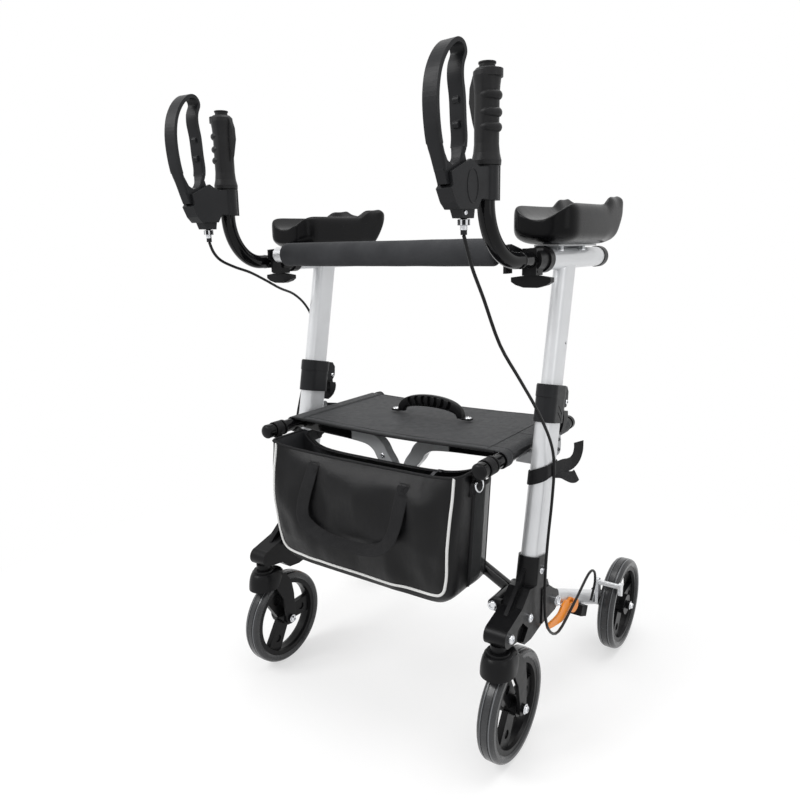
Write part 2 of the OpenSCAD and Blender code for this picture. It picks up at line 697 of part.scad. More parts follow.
// Brake shoe: bar across the tyre on a pivoting arm
module brake_bar() {
  end = rear_offset + tyre_width / 2 + 10;
  color("dimgray") on_leg() {
    difference() {
      along_x(18.4, 6.4) {
        translate([brake_s, 0]) circle(r = 11);
        translate([bar_s, bar_n]) circle(r = 9);
        polygon([
          [brake_s - 10, -4], [bar_s - 9, bar_n], [bar_s + 6, bar_n + 6], [brake_s + 10, 4]
        ]);
      }
      rod_x(0, 40, brake_s, 0, 8 + 2 * run_gap);
    }
    along_x(end - 5, 6) {
      translate([bar_s, bar_n]) circle(r = 9);
      polygon([[bar_s - 9, bar_n], [bar_s + 9, bar_n], [bar_s + 16, bar_n - 18], [bar_s + 4, bar_n - 18]]);
    }
  }
  color("silver") on_leg() rod_x(18.6, end, bar_s, bar_n, 11);
}

// Orange lever that locks the rear leg
module latch() {
  color("orange") on_leg() difference() {
    along_x(17.4, 5.6) {
      translate([98, -6]) circle(r = 10);
      polygon([[90, -14], [62, -28], [46, -46], [36, -46], [48, -26], [62, -14], [92, 3], [104, 0]]);
    }
    rod_x(0, 40, 98, -6, 6 + 2 * run_gap);
  }
  color("orange") on_leg() difference() {
    rod_x(17.4, 23, 98, -6, 22);
    rod_x(0, 40, 98, -6, 6 + 2 * run_gap);
  }
}

// A cable point moved with the forearm height: whole above the post's head, not at all near the leg
function laid(q) =
  [q[0], q[1], q[2] + (arm_height - route_height) * min(1, max(0, (q[2] - 458) / 288))];

// Brake cable as a swept round hose along its route
module cable(route) {
  p = smooth([for (q = route) laid(q)], 4);
  n = 8;
  last = len(p) - 1;
  color("black") translate([track_half - route_track, 0, 0]) polyhedron(
    points = [
      for (i = [0 : last])
        each ring(p[i], unit(at(p, i + 1) - at(p, i - 1)), cable_r, n)
    ],
    faces = tube_faces(last + 1, n)
  );
}

// Webbing strap wrapped around the post at seat height, with a short tail
module strap() {
  color("black") on_post(rail_z - 55) {
    linear_extrude(25) difference() {
      stadium(post_depth + 4.6, post_width + 4.6);
      stadium(post_depth + 2 * seat_gap, post_width + 2 * seat_gap);
    }
    along_x(3, 2.4) translate([post_depth / 2 + 0.8, 0]) polygon([[0, 1], [0, 24], [28, 38], [28, 15]]);
  }
}

// Middle line of a brace arm's bent upper half, from the cross bolt to the rail, and its half width
brace_bend = smooth([
  [0, cross_z], [8, cross_z + 30], [14, cross_z + 60], [30, rail_z - 42], [41, rail_z - 25],
  [63, rail_z - 13], [103, rail_z - 10], [160, rail_z - 9], [205, rail_z - 7], [rail_half, rail_z - 4]
], 4);
function bend_half(i) =
  let (u = i / (len(brace_bend) - 1)) 10 - 1.6 * u + 5 * pow(sin(180 * min(1, u / 0.82)), 2);
function bend_edge(i, s) =
  let (d = unit(at(brace_bend, i + 1) - at(brace_bend, i - 1))) brace_bend[i] + s * bend_half(i) * [-d[1], d[0]];

// Cross brace from a lower pivot through the cross bolt, then bent up under the seat to the opposite rail
module brace(y) {
  color("dimgray") difference() {
    union() {
      translate([-pin_half, y, pin_z]) rotate([0, -brace_rise, 0]) rotate([0, 90, 0])
        linear_extrude(norm([pin_half, cross_z - pin_z])) stadium(brace_deep, brace_high);
      rod_y(0, y - brace_deep / 2, y + brace_deep / 2, cross_z, 32);
      along_y(y - brace_deep / 2 + 2, brace_deep - 4) polygon(concat(
        [for (i = [0 : len(brace_bend) - 1]) bend_edge(i, 1)],
        [for (i = [len(brace_bend) - 1 : -1 : 0]) bend_edge(i, -1)]
      ));
      rod_y(-pin_half, barrel_front, y + brace_deep / 2, pin_z, 2 * barrel_r);
    }
    rod_y(-pin_half, barrel_front - 1, y + brace_deep, pin_z, brace_pin_d + 2 * run_gap);
    rod_y(0, y - brace_deep, y + brace_deep, cross_z, brace_pin_d + 2 * run_gap);
    rod_y(rail_half, y - brace_deep, y + brace_deep, rail_z, rail_d + 2 * seat_gap);
    translate([rail_half, y - 30, rail_z - 40]) cube([40, 60, 80]);
  }
}

// Seat rail with its round end caps
module rail() {
  color("black") {
    rod_y(rail_half, rail_front + 8, rail_back, rail_z, rail_d);
    rod_y(rail_half, rail_front, rail_front + 10, rail_z, rail_d + 3);
    rod_y(rail_half, rail_back - 2, rail_back + 8, rail_z, rail_d + 3);
  }
}

module cross_bolt() {
  y0 = brace_y_b - brace_deep / 2 - body_gap;
  y1 = brace_y_a + brace_deep / 2 + body_gap;
  color("silver") {
    rod_y(0, y0 - 5, y1 + 5, cross_z, brace_pin_d);
    rod_y(0, y0 - 5, y0, cross_z, 19);
    rod_y(0, y1, y1 + 5, cross_z, 19);
  }
}

// Half of the sling seat with the hem that runs round its rail
module seat_half() {
  color("dimgray") difference() {
    union() {
      along_y(seat_front, seat_depth) {
        translate([rail_half, rail_z]) circle(r = hem_r);
        translate([0.4, seat_top - 3.3]) square([rail_half - 0.4, 3.3]);
      }
    }
    rod_y(rail_half, seat_front - 1, seat_back + 1, rail_z, rail_d + 2 * body_gap);
    translate([rail_half - 20, notch_front, rail_z - 40]) cube([60, notch_back - notch_front, 47]);
  }
}

// Carrying handle on the middle of the seat: a tall slotted grip between two narrow feet
module seat_handle() {
  y = 11;
  z = seat_top + body_gap;
  color("black") difference() {
    along_y(y - 8, 16) difference() {
      union() {
        polygon([
          for (k = [0 : 24])
            let (a = 180 * k / 24) [78 * cos(a), z + 3 + 38 * pow(sin(a), 0.7)],
          [-96, z + 3], [-96, z], [96, z], [96, z + 3]
        ]);
      }
      polygon([
        for (k = [0 : 24])
          let (a = 180 * k / 24) [64 * cos(a), z - 1 + 17 * pow(sin(a), 0.7)]
      ]);
    }
    for (s = [-1, 1])
      translate([s * 87, y, z - 1]) cylinder(d = 5, h = 10);
    for (k = [-3 : 3])
      translate([16 * k, y - 9, z + 19]) rotate([0, 7 * k, 0]) translate([-2.5, 0, 0])
        cube([5, 5, 16 - abs(k)]);
  }
}

// Shopping bag as an open soft shell, hung by loops from the front ends of the rails
module bag() {
  n = 48;
  levels = [0, 0.03, 0.07, 0.12, 0.3, 0.55, 0.78, 0.93, 1];
  m = len(levels);
  color("black") {
    polyhedron(
      points = concat(
        [for (i = [0 : m - 1]) for (k = [0 : n - 1]) bag_point(levels[i], -360 * k / n, 0)],
        [for (i = [0 : m - 2]) for (k = [0 : n - 1]) bag_point(levels[m - 1 - i], -360 * k / n, 3)]
      ),
      faces = tube_faces(2 * m - 1, n)
    );
    for (s = [-1, 1]) {
      difference() {
        rod_y(s * rail_half, -204, -184, rail_z, rail_d + 2 * body_gap + 5);
        rod_y(s * rail_half, -206, -182, rail_z, rail_d + 2 * body_gap);
      }
      translate([s * (bag_half - 1) - 2, -204, bag_top - 44]) cube([4, 20, 36]);
      along_y(-204, 20) polygon([
        [s * (bag_half - 3), bag_top - 12], [s * (bag_half + 1), bag_top - 16],
        [s * (rail_half - 3), rail_z - 14.6], [s * (rail_half - 8), rail_z - 12.8]
      ]);
    }
  }
}

function bag_point(v, a, inset) =
  let (
    bulge = sin(180 * v),
    hw = bag_half - 13 * (1 - v) - 22 * pow(max(0, 1 - v / 0.12), 2) - inset,
    front = -246 - 5 * bulge + 9 * pow(1 - v, 8) + inset,
    back = -126 - 3 * (1 - v) - inset,
    mid = (front + back) / 2,
    half = (back - front) / 2,
    c = power(cos(a), 0.22),
    s = power(sin(a), 0.22),
    sag = s < 0 ? 18 * pow(v, 3) * (1 - pow(c, 4)) * -s : 26 * pow(v, 3) * (1 - pow(c, 8)) * s,
    z = bag_bottom + (bag_top - bag_bottom) * v - sag + (inset > 0 ? 3 * (1 - v) : 0)
  ) [hw * c, mid + half * s, z];

// Foam-covered bar between the two forearm arms
module foam_bar() {
  r = bar_d / 2;
  color("dimgray") translate([0, bar_y, bar_z]) rotate([0, 90, 0]) rotate_extrude() polygon([
    [0, -bar_half], [r - 5, -bar_half], [r - 1.5, -bar_half + 1.5], [r, -bar_half + 5],
    [r, bar_half - 5], [r - 1.5, bar_half - 1.5], [r - 5, bar_half], [0, bar_half]
  ]);
}

module post_right() { post(); }
module post_left() { mirror([1, 0, 0]) post(); }
module bracket_right() { bracket(brace_y_b); }
module bracket_left() { mirror([1, 0, 0]) bracket(brace_y_a); }
module bolts_right() { bolts(brace_y_b); }
module bolts_left() { mirror([1, 0, 0]) bolts(brace_y_a); }
module collar_right() { collar(); }
module collar_left() { mirror([1, 0, 0]) collar(); }
module collar_lever_right() { collar_lever(); }
module collar_lever_left() { mirror([1, 0, 0]) collar_lever(); }
module arm_right() { arm(); }
module arm_left() { mirror([1, 0, 0]) arm(); }
module arm_fittings_right() { arm_fittings(); }
module arm_fittings_left() { mirror([1, 0, 0]) arm_fittings(); }
module clamp_knob_right() { clamp_knob(); }
module clamp_knob_left() { mirror([1, 0, 0]) clamp_knob(); }
module handle_right() { handle(); }
module handle_left() { mirror([1, 0, 0]) handle(); }
module grip_right() { grip(); }
module grip_left() { mirror([1, 0, 0]) grip(); }
module brake_housing_right() { brake_housing(); }
module brake_housing_left() { mirror([1, 0, 0]) brake_housing(); }
module brake_lever_right() { brake_lever(); }
module brake_lever_left() { mirror([1, 0, 0]) brake_lever(); }
module pad_right() { pad(); }
module pad_left() { mirror([1, 0, 0]) pad(); }
module pad_plate_right() { pad_plate(); }
module pad_plate_left() { mirror([1, 0, 0]) pad_plate(); }
module caster_fork_right() { caster_fork(); }
module caster_fork_left() { mirror([1, 0, 0]) caster_fork(); }
module front_hub_right() { front_hub(); }
module front_hub_left() { mirror([1, 0, 0]) front_hub(); }
module front_tyre_right() { front_tyre(); }
module front_tyre_left() { mirror([1, 0, 0]) front_tyre(); }
module rear_leg_right() { rear_leg(); }
module rear_leg_left() { mirror([1, 0, 0]) rear_leg(); }
module leg_fittings_right() { leg_fittings(); }
module leg_fittings_left() { mirror([1, 0, 0]) leg_fittings(); }
module rear_hub_right() { rear_hub(); }
module rear_hub_left() { mirror([1, 0, 0]) rear_hub(); }
module rear_tyre_right() { rear_tyre(); }
module rear_tyre_left() { mirror([1, 0, 0]) rear_tyre(); }
module brake_bar_right() { brake_bar(); }
module brake_bar_left() { mirror([1, 0, 0]) brake_bar(); }
module latch_right() { latch(); }
module latch_left() { mirror([1, 0, 0]) latch(); }
module cable_right() { cable(route_right); }
module cable_left() { mirror([1, 0, 0]) cable(route_left); }
module strap_right() { strap(); }
module strap_left() { mirror([1, 0, 0]) strap(); }
module brace_a() { brace(brace_y_a); }
module brace_b() { mirror([1, 0, 0]) brace(brace_y_b); }
module rail_right() { rail(); }
module rail_left() { mirror([1, 0, 0]) rail(); }
module seat_right() { seat_half(); }
module seat_left() { mirror([1, 0, 0]) seat_half(); }

post_left();
post_right();
bracket_left();
bracket_right();
bolts_left();
bolts_right();
collar_left();
collar_right();
collar_lever_left();
collar_lever_right();
arm_left();
arm_right();
arm_fittings_left();
arm_fittings_right();
clamp_knob_left();
clamp_knob_right();
handle_left();
handle_right();
grip_left();
grip_right();
brake_housing_left();
brake_housing_right();
brake_lever_left();
brake_lever_right();
pad_left();
pad_right();
pad_plate_left();
pad_plate_right();
caster_fork_left();
caster_fork_right();
front_hub_left();
front_hub_right();
front_tyre_left();
front_tyre_right();
rear_leg_left();
rear_leg_right();
leg_fittings_left();
leg_fittings_right();
rear_hub_left();
rear_hub_right();
rear_tyre_left();
rear_tyre_right();
brake_bar_left();
brake_bar_right();
latch_left();
latch_right();
cable_left();
cable_right();
strap_left();
strap_right();
brace_a();
brace_b();
rail_left();
rail_right();
cross_bolt();
seat_left();
seat_right();
seat_handle();
bag();
foam_bar();
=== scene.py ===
"""Looks of an upright walker with forearm pads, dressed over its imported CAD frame.

Sizes in the classes are millimetres on the right-hand side of the walker. Meshes are made in metres.
"""

import logging
import math
from dataclasses import dataclass
from enum import Enum
from typing import Optional, Sequence, Union

import bmesh
import bpy
from mathutils import Matrix, Vector, noise
from mathutils.bvhtree import BVHTree


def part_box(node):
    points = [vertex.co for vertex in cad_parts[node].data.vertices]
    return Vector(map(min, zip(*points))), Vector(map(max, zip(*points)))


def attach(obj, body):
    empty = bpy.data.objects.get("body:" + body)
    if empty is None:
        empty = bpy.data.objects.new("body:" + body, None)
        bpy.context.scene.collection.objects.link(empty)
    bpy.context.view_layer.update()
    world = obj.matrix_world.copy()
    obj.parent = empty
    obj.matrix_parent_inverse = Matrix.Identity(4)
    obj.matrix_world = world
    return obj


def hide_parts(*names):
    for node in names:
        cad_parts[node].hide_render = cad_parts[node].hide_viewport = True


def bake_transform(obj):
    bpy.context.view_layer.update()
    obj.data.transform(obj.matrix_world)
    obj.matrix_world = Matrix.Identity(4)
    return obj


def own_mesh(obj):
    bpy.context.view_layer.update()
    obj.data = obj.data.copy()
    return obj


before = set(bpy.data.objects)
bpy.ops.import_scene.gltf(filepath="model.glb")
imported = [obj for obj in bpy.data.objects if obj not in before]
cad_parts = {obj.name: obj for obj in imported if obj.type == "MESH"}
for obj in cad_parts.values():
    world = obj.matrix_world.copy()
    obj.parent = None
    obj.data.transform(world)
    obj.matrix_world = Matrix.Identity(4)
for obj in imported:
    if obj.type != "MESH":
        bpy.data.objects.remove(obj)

LOG = logging.getLogger("walker")
MM = 0.001
# Sizes of the CAD frame that several pieces share, in millimetres, and the lean of the posts in radians.
TRACK = 276.0
ARM_HEIGHT = 866.0
POST_LEAN = math.radians(11.5)
POST_TOP_Y = 18.0
RAIL_X = 238.0
RAIL_Z = 536.0
# Directions and types that several pieces share.
UP = Vector((0.0, 0.0, 1.0))
FORWARD = Vector((0.0, -1.0, 0.0))
Pair = tuple[float, float]
Triple = tuple[float, float, float]
Ring = list[Vector]
Socket = bpy.types.NodeSocket
Piece = bpy.types.Object


class Side(Enum):
    """Half of the walker that a piece belongs to."""

    RIGHT = 1
    LEFT = -1

    @property
    def word(self) -> str:
        """Return the ending of this side's node and body names."""
        return self.name.lower()

    @property
    def out(self) -> Vector:
        """Return the direction away from the walker's middle."""
        return Vector((self.value, 0.0, 0.0))

    @property
    def rail_arm(self) -> str:
        """Return the brace arm that carries this side's seat rail."""
        return "brace_a" if self is Side.RIGHT else "brace_b"

    def point(self, x: float, y: float, z: float) -> Vector:
        """Place a point of the right side, in millimetres, on this side in metres."""
        return Vector((x * self.value, y, z)) * MM

    def way(self, x: float, y: float, z: float) -> Vector:
        """Turn a direction of the right side into this side's."""
        return Vector((x * self.value, y, z)).normalized()

    def on_post(self, base: float, x: float, y: float, z: float) -> Vector:
        """Place a point given in the post's leaning frame.

        Args:
            base: Height of the frame's foot on the post.
            x: Millimetres outward from the post's middle.
            y: Millimetres rearward, square to the post.
            z: Millimetres along the post from the foot.

        Returns:
            The point in metres.
        """
        c, s = math.cos(POST_LEAN), math.sin(POST_LEAN)
        foot = POST_TOP_Y + (base - ARM_HEIGHT) * math.tan(POST_LEAN)
        return self.point(TRACK + x, foot + y * c + z * s, base - y * s + z * c)


class ShaderKit:
    """Nodes of one material or world, added and linked by short calls."""

    def __init__(self, owner: Union[bpy.types.Material, bpy.types.World]) -> None:
        """Switch the nodes of a material or world on.

        Args:
            owner: Material or world to fill.
        """
        owner.use_nodes = True
        self.tree = owner.node_tree
        self.skin = self.tree.nodes.get("Principled BSDF")

    def feed(self, socket: Socket, value: object) -> None:
        """Link a socket to another, or set its value.

        Args:
            socket: Input to fill.
            value: Output socket, number or colour.
        """
        if isinstance(value, Socket):
            self.tree.links.new(value, socket)
        else:
            socket.default_value = value

    def add(self, kind: str, *values: object, **named: object) -> bpy.types.Node:
        """Add a node and fill its inputs.

        Args:
            kind: Type of the node.
            values: Sockets or values of the first inputs, in order.
            named: Sockets or values of other inputs, by name.

        Returns:
            The node.
        """
        node = self.tree.nodes.new(kind)
        for key, value in [*enumerate(values), *named.items()]:
            self.feed(node.inputs[key], value)
        return node

    def dress(self, colour: Socket, rough: Socket, normal: Socket) -> None:
        """Feed the main shader its colour, roughness and normal."""
        for name, value in (("Base Color", colour), ("Roughness", rough), ("Normal", normal)):
            self.feed(self.skin.inputs[name], value)

    def calc(self, way: str, a: object, b: object = 0.0) -> Socket:
        """Add a Math node on two numbers.

        Args:
            way: Operation of the Math node.
            a: First number or socket.
            b: Second number or socket.

        Returns:
            The result's socket.
        """
        node = self.add("ShaderNodeMath", a, b)
        node.operation = way
        return node.outputs[0]

    def space(self) -> Socket:
        """Return the piece's own space."""
        return self.add("ShaderNodeTexCoord").outputs["Object"]

    def axis(self, vector: Socket, letter: str) -> Socket:
        """Return one coordinate of a vector."""
        return self.add("ShaderNodeSeparateXYZ", vector).outputs[letter]

    def wave(self, letter: str, pitch_mm: float) -> Socket:
        """Add a sine along one direction of the cloth's own lengths.

        Args:
            letter: Direction of the layout.
            pitch_mm: Distance between two zeros.

        Returns:
            The sine.
        """
        lay = self.add("ShaderNodeUVMap")
        lay.uv_map = "weave"
        along = self.axis(lay.outputs[0], letter)
        return self.calc("SINE", self.calc("MULTIPLY", along, math.pi / (pitch_mm * MM)))

    def speckle(self, size_mm: float, detail: float = 3.0, stretch: Triple = (1.0, 1.0, 1.0)) -> Socket:
        """Add a noise of a given size in the piece's own space.

        Args:
            size_mm: Distance between neighbouring spots.
            detail: Octaves of finer noise.
            stretch: Scale of the space along each axis.

        Returns:
            The noise's factor.
        """
        space = self.add("ShaderNodeMapping", self.space(), Scale=stretch).outputs[0]
        node = self.add("ShaderNodeTexNoise", space, Scale=1.0 / (size_mm * MM), Detail=detail)
        return node.outputs[0]

    def blend(self, share: object, low: object, high: object) -> Socket:
        """Mix two colours.

        Args:
            share: Factor, from 0 for the first colour to 1 for the second.
            low: First colour or socket.
            high: Second colour or socket.

        Returns:
            The mixed colour.
        """
        low_at, high_at, result_at = 6, 7, 2
        node = self.add("ShaderNodeMix", share)
        node.data_type = "RGBA"
        self.feed(node.inputs[low_at], low)
        self.feed(node.inputs[high_at], high)
        return node.outputs[result_at]

    def spread(self, value: object, low: float, high: float, start: float = 0.3, end: float = 0.7) -> Socket:
        """Map a factor, low where it is start and high where it is end."""
        return self.add("ShaderNodeMapRange", value, start, end, low, high).outputs[0]

    def rounded(self, radius_mm: float) -> Socket:
        """Add a normal that rounds the edges.

        Args:
            radius_mm: Radius of the rounding.

        Returns:
            The rounded normal.
        """
        node = self.add("ShaderNodeBevel", Radius=radius_mm * MM)
        node.samples = 4
        return node.outputs[0]

    def edges(self, normal: Socket) -> Socket:
        """Find the edges, where a rounded normal leaves the true one.

        Args:
            normal: Rounded normal.

        Returns:
            A factor, 0 on flats and up to 1 on sharp edges.
        """
        flat = self.add("ShaderNodeNewGeometry").outputs["Normal"]
        dot = self.add("ShaderNodeVectorMath", flat, normal)
        dot.operation = "DOT_PRODUCT"
        return self.spread(dot.outputs["Value"], 1.0, 0.0, 0.75, 0.985)

    def bump(
        self, height: Socket, strength: float, depth_mm: float, normal: Optional[Socket] = None
    ) -> Socket:
        """Add a bump on top of a normal.

        Args:
            height: Height factor.
            strength: Strength of the bump.
            depth_mm: Depth that the factor stands for.
            normal: Normal below it, if any.

        Returns:
            The bumped normal.
        """
        node = self.add("ShaderNodeBump", Strength=strength, Distance=depth_mm * MM, Height=height)
        if normal is not None:
            self.feed(node.inputs["Normal"], normal)
        return node.outputs[0]

    def background_ray(self) -> Socket:
        """Add a factor that is 1 for rays that show the background.

        Returns:
            The factor.
        """
        rays = self.add("ShaderNodeLightPath").outputs
        mirrored = self.calc("MAXIMUM", rays["Is Glossy Ray"], rays["Is Transmission Ray"])
        return self.calc("MAXIMUM", rays["Is Camera Ray"], mirrored)


@dataclass(frozen=True)
class Finish:
    """A surface with fine grain, colour drift and lighter edges, which are partly wear and partly a painted
    edge highlight.
    """

    name: str
    colour: Triple
    rough: float = 0.4
    metal: float = 0.0
    coat: float = 0.0
    sheen: float = 0.0
    grain: float = 0.6
    relief: float = 0.12
    drift: float = 0.1
    # Share by which edges are painted lighter: partly wear, partly a painted highlight on edges that catch
    # the light.
    edge_wear_and_highlight: float = 0.0
    edge: float = 0.7
    gloss: float = 0.5

    def tint(self, share: float) -> tuple[float, float, float, float]:
        """Return the colour made lighter or darker by a share."""
        return tuple(min(1.0, c * share) for c in self.colour) + (1.0,)

    def clouded(self, kit: ShaderKit, size: float) -> Socket:
        """Return the colour with soft clouds of a size in millimetres."""
        cloud = kit.spread(kit.speckle(size, 4.0), 0.0, 1.0)
        return kit.blend(cloud, self.tint(1.0 - self.drift), self.tint(1.0 + self.drift))

    def make(self) -> bpy.types.Material:
        """Return the material, made once.

        Returns:
            The material of this finish.
        """
        found = bpy.data.materials.get(self.name)
        if found:
            return found
        material = bpy.data.materials.new(self.name)
        kit = ShaderKit(material)
        values = {"Metallic": self.metal, "Specular IOR Level": self.gloss, "Coat Weight": self.coat}
        values |= {"Coat Roughness": 0.08, "Sheen Weight": self.sheen, "Sheen Roughness": 0.4}
        for name, value in values.items():
            kit.skin.inputs[name].default_value = value
        self.paint(kit)
        return material

    def paint(self, kit: ShaderKit) -> None:
        """Fill the shader's colour, roughness and normal.

        Args:
            kit: Nodes of the material.
        """
        colour = self.clouded(kit, 55.0)
        normal = kit.rounded(self.edge) if self.edge else None
        # Scuffed edges painted lighter: partly wear, partly a painted highlight where the satin edges catch
        # the light.
        if self.edge_wear_and_highlight:
            scuff_and_highlight_mask = kit.calc("MULTIPLY", kit.edges(normal), kit.spread(kit.speckle(9.0), 0.3, 1.0))
            wear_and_highlight_colour = tuple(c + (0.55 - c) * self.edge_wear_and_highlight for c in self.colour) + (1.0,)
            colour = kit.blend(scuff_and_highlight_mask, colour, wear_and_highlight_colour)
        rough = kit.spread(kit.speckle(14.0, 5.0), self.rough * 0.85, min(1.0, self.rough * 1.15))
        kit.dress(colour, rough, kit.bump(self.relief_height(kit), self.relief, 0.3, normal))

    def relief_height(self, kit: ShaderKit) -> Socket:
        """Return the height of the surface's own grain."""
        return kit.speckle(self.grain, 2.0)


@dataclass(frozen=True)
class DrawnTube(Finish):
    """Paint or polish on drawn tube, with fine lines along it."""

    along: Triple = (1.0, 1.0, 0.05)

    def relief_height(self, kit: ShaderKit) -> Socket:
        """Return fine lines along the tube."""
        return kit.speckle(self.grain, 3.0, self.along)


@dataclass(frozen=True)
class Woven(Finish):
    """Cloth or webbing in a plain weave, laid out by the piece's own lengths."""

    pitch: float = 0.9
    crease: float = 0.0
    ribs: float = 0.0

    def paint(self, kit: ShaderKit) -> None:
        """Fill the shader with crossing threads.

        Args:
            kit: Nodes of the material.
        """
        warp, weft = kit.wave("X", self.pitch), kit.wave("Y", self.pitch)
        over = kit.calc("GREATER_THAN", kit.calc("MULTIPLY", warp, weft), 0.0)
        warp_up = kit.calc("MULTIPLY", kit.calc("ABSOLUTE", warp), over)
        weft_up = kit.calc("MULTIPLY", kit.calc("ABSOLUTE", weft), kit.calc("SUBTRACT", 1.0, over))
        thread = kit.calc("ADD", warp_up, weft_up)
        if self.ribs:
            rib = kit.wave("X", self.ribs)
            thread = kit.calc("ADD", kit.calc("MULTIPLY", thread, 0.5), kit.calc("MULTIPLY", rib, rib))
        cloud = kit.calc("MULTIPLY", kit.speckle(40.0, 4.0), 0.45)
        shade = kit.calc("ADD", kit.calc("MULTIPLY", thread, 0.55), cloud)
        colour = kit.blend(shade, self.tint(1.0 - 2.2 * self.drift), self.tint(1.0 + 1.6 * self.drift))
        rough = kit.spread(kit.speckle(11.0), self.rough * 0.88, min(1.0, self.rough * 1.1))
        normal = kit.bump(thread, self.relief, 0.25)
        if self.crease:
            fold = kit.speckle(34.0, 4.0, (1.0, 1.0, 0.55))
            normal = kit.bump(fold, self.crease, 3.0, normal)
        kit.dress(colour, rough, normal)


@dataclass(frozen=True)
class NetCloth(Woven):
    """Open net whose holes let the cloth behind show."""

    mesh: float = 3.2

    def paint(self, kit: ShaderKit) -> None:
        """Fill the shader with threads round open holes.

        Args:
            kit: Nodes of the material.
        """
        super().paint(kit)
        u, v = (kit.calc("ABSOLUTE", kit.wave(letter, self.mesh)) for letter in "XY")
        kit.feed(kit.skin.inputs["Alpha"], kit.spread(kit.calc("MULTIPLY", u, v), 1.0, 0.7, 0.42, 0.5))


@dataclass(frozen=True)
class Tread(Finish):
    """Tyre compound with moulded grooves beside the tread, painted lighter as highlights along the tread's
    edges.
    """

    middle: float = TRACK
    line: float = 8.5

    def paint(self, kit: ShaderKit) -> None:
        """Fill the shader and draw the grooves and their painted highlights by their distance from the
        wheel's middle plane.

        Args:
            kit: Nodes of the material.
        """
        across = kit.calc("ABSOLUTE", kit.axis(kit.space(), "X"))
        off = kit.calc("ABSOLUTE", kit.calc("SUBTRACT", across, self.middle * MM))
        near = kit.calc("ABSOLUTE", kit.calc("SUBTRACT", off, self.line * MM))
        # Band of each groove: it cuts the groove into the bump and carries the painted highlight.
        groove_and_highlight = kit.spread(near, 1.0, 0.0, 0.6 * MM, 1.1 * MM)
        spots = kit.spread(kit.speckle(5.0, 5.0), 0.0, 0.35, 0.5, 0.72)
        dust = kit.calc("MULTIPLY", spots, kit.spread(off, 1.0, 0.2, 4 * MM, 12 * MM))
        colour = kit.blend(dust, self.clouded(kit, 30.0), self.tint(1.5))
        rough = kit.spread(kit.speckle(8.0), self.rough * 0.8, self.rough * 1.25)
        groove = kit.calc("SUBTRACT", kit.speckle(self.grain, 2.0), groove_and_highlight)
        normal = kit.bump(groove, self.relief, 0.4, kit.rounded(self.edge))
        # The groove bands are painted much lighter, as painted highlights along the tread's edges.
        kit.dress(kit.blend(groove_and_highlight, colour, self.tint(4.2)), rough, normal)


@dataclass(frozen=True)
class BraceCoat(Finish):
    """Gloss paint with a bare silver length round the bend."""

    change: float = 467.0
    reach: float = 104.0
    fade: float = 2.0

    def paint(self, kit: ShaderKit) -> None:
        """Fill the shader and split the colour by height and distance from the middle.

        Args:
            kit: Nodes of the material.
        """
        super().paint(kit)
        socket = kit.skin.inputs["Base Color"]
        black = socket.links[0].from_socket
        space = kit.space()
        upper = kit.spread(kit.axis(space, "Z"), 0.0, 1.0, self.change * MM, (self.change + self.fade) * MM)
        off = kit.calc("ABSOLUTE", kit.axis(space, "X"))
        inner = kit.spread(off, 1.0, 0.0, self.reach * MM, (self.reach + self.fade) * MM)
        silver = kit.blend(kit.speckle(2.0), (0.42, 0.43, 0.44, 1.0), (0.5, 0.51, 0.52, 1.0))
        kit.feed(socket, kit.blend(kit.calc("MULTIPLY", upper, inner), black, silver))


SILVER = DrawnTube(
    "silver_lacquer", (0.68, 0.69, 0.705), 0.33, 0.35, 0.2, grain=0.9, relief=0.06, drift=0.035, edge=0.5
)
CHARCOAL = Finish(
    "charcoal_moulding", (0.0165, 0.017, 0.0185), 0.36, grain=0.45, relief=0.14, drift=0.14, edge_wear_and_highlight=0.04,
    edge=1.0, gloss=0.13,
)
SATIN_BLACK = Finish(
    "satin_black_moulding", (0.0065, 0.0065, 0.0071), 0.34, grain=0.4, relief=0.1, drift=0.15, edge_wear_and_highlight=0.03,
    gloss=0.14,
)
GLOSS_BLACK = DrawnTube(
    "gloss_black_tube", (0.004, 0.004, 0.0045), 0.1, coat=0.1, grain=1.5, relief=0.0, drift=0.2, gloss=0.12
)
CHROME = Finish("bright_chrome", (0.7, 0.71, 0.73), 0.16, 1.0, grain=0.5, relief=0.04, drift=0.06, edge=0.4)
DARK_METAL = Finish("dark_metal", (0.09, 0.09, 0.095), 0.3, 0.9, grain=0.5, relief=0.06, edge=0.3)
GRIP = Finish(
    "moulded_grip_rubber", (0.019, 0.019, 0.0198), 0.44, grain=0.35, relief=0.1, drift=0.16, edge=0.0,
    gloss=0.15,
)
PAD_SKIN = Finish("pad_skin", (0.0055, 0.0055, 0.006), 0.24, grain=6.0, relief=0.0, edge=0.0, gloss=0.09)
HUB = Finish("hub_moulding", (0.0055, 0.0055, 0.006), 0.33, relief=0.1, drift=0.15, edge=1.0, gloss=0.15)
TYRE_FRONT, TYRE_REAR = (
    Tread(
        f"{end}_tyre_compound", (0.034, 0.035, 0.037), 0.24, coat=0.15, grain=0.7, relief=0.14, drift=0.12,
        gloss=0.3, middle=middle,
    )
    for end, middle in (("front", TRACK), ("rear", 322.0))
)
ORANGE = Finish("orange_latch", (0.88, 0.27, 0.012), 0.34, grain=0.5, relief=0.1, drift=0.06, gloss=0.35)
SLEEVE = Finish(
    "cable_jacket", (0.0055, 0.0055, 0.006), 0.36, grain=0.8, relief=0.1, drift=0.2, edge=0.3, gloss=0.2
)
FOAM = Finish(
    "closed_foam", (0.042, 0.043, 0.046), 0.8, sheen=0.04, grain=0.9, relief=0.5, drift=0.14, edge=0.0,
    gloss=0.1,
)
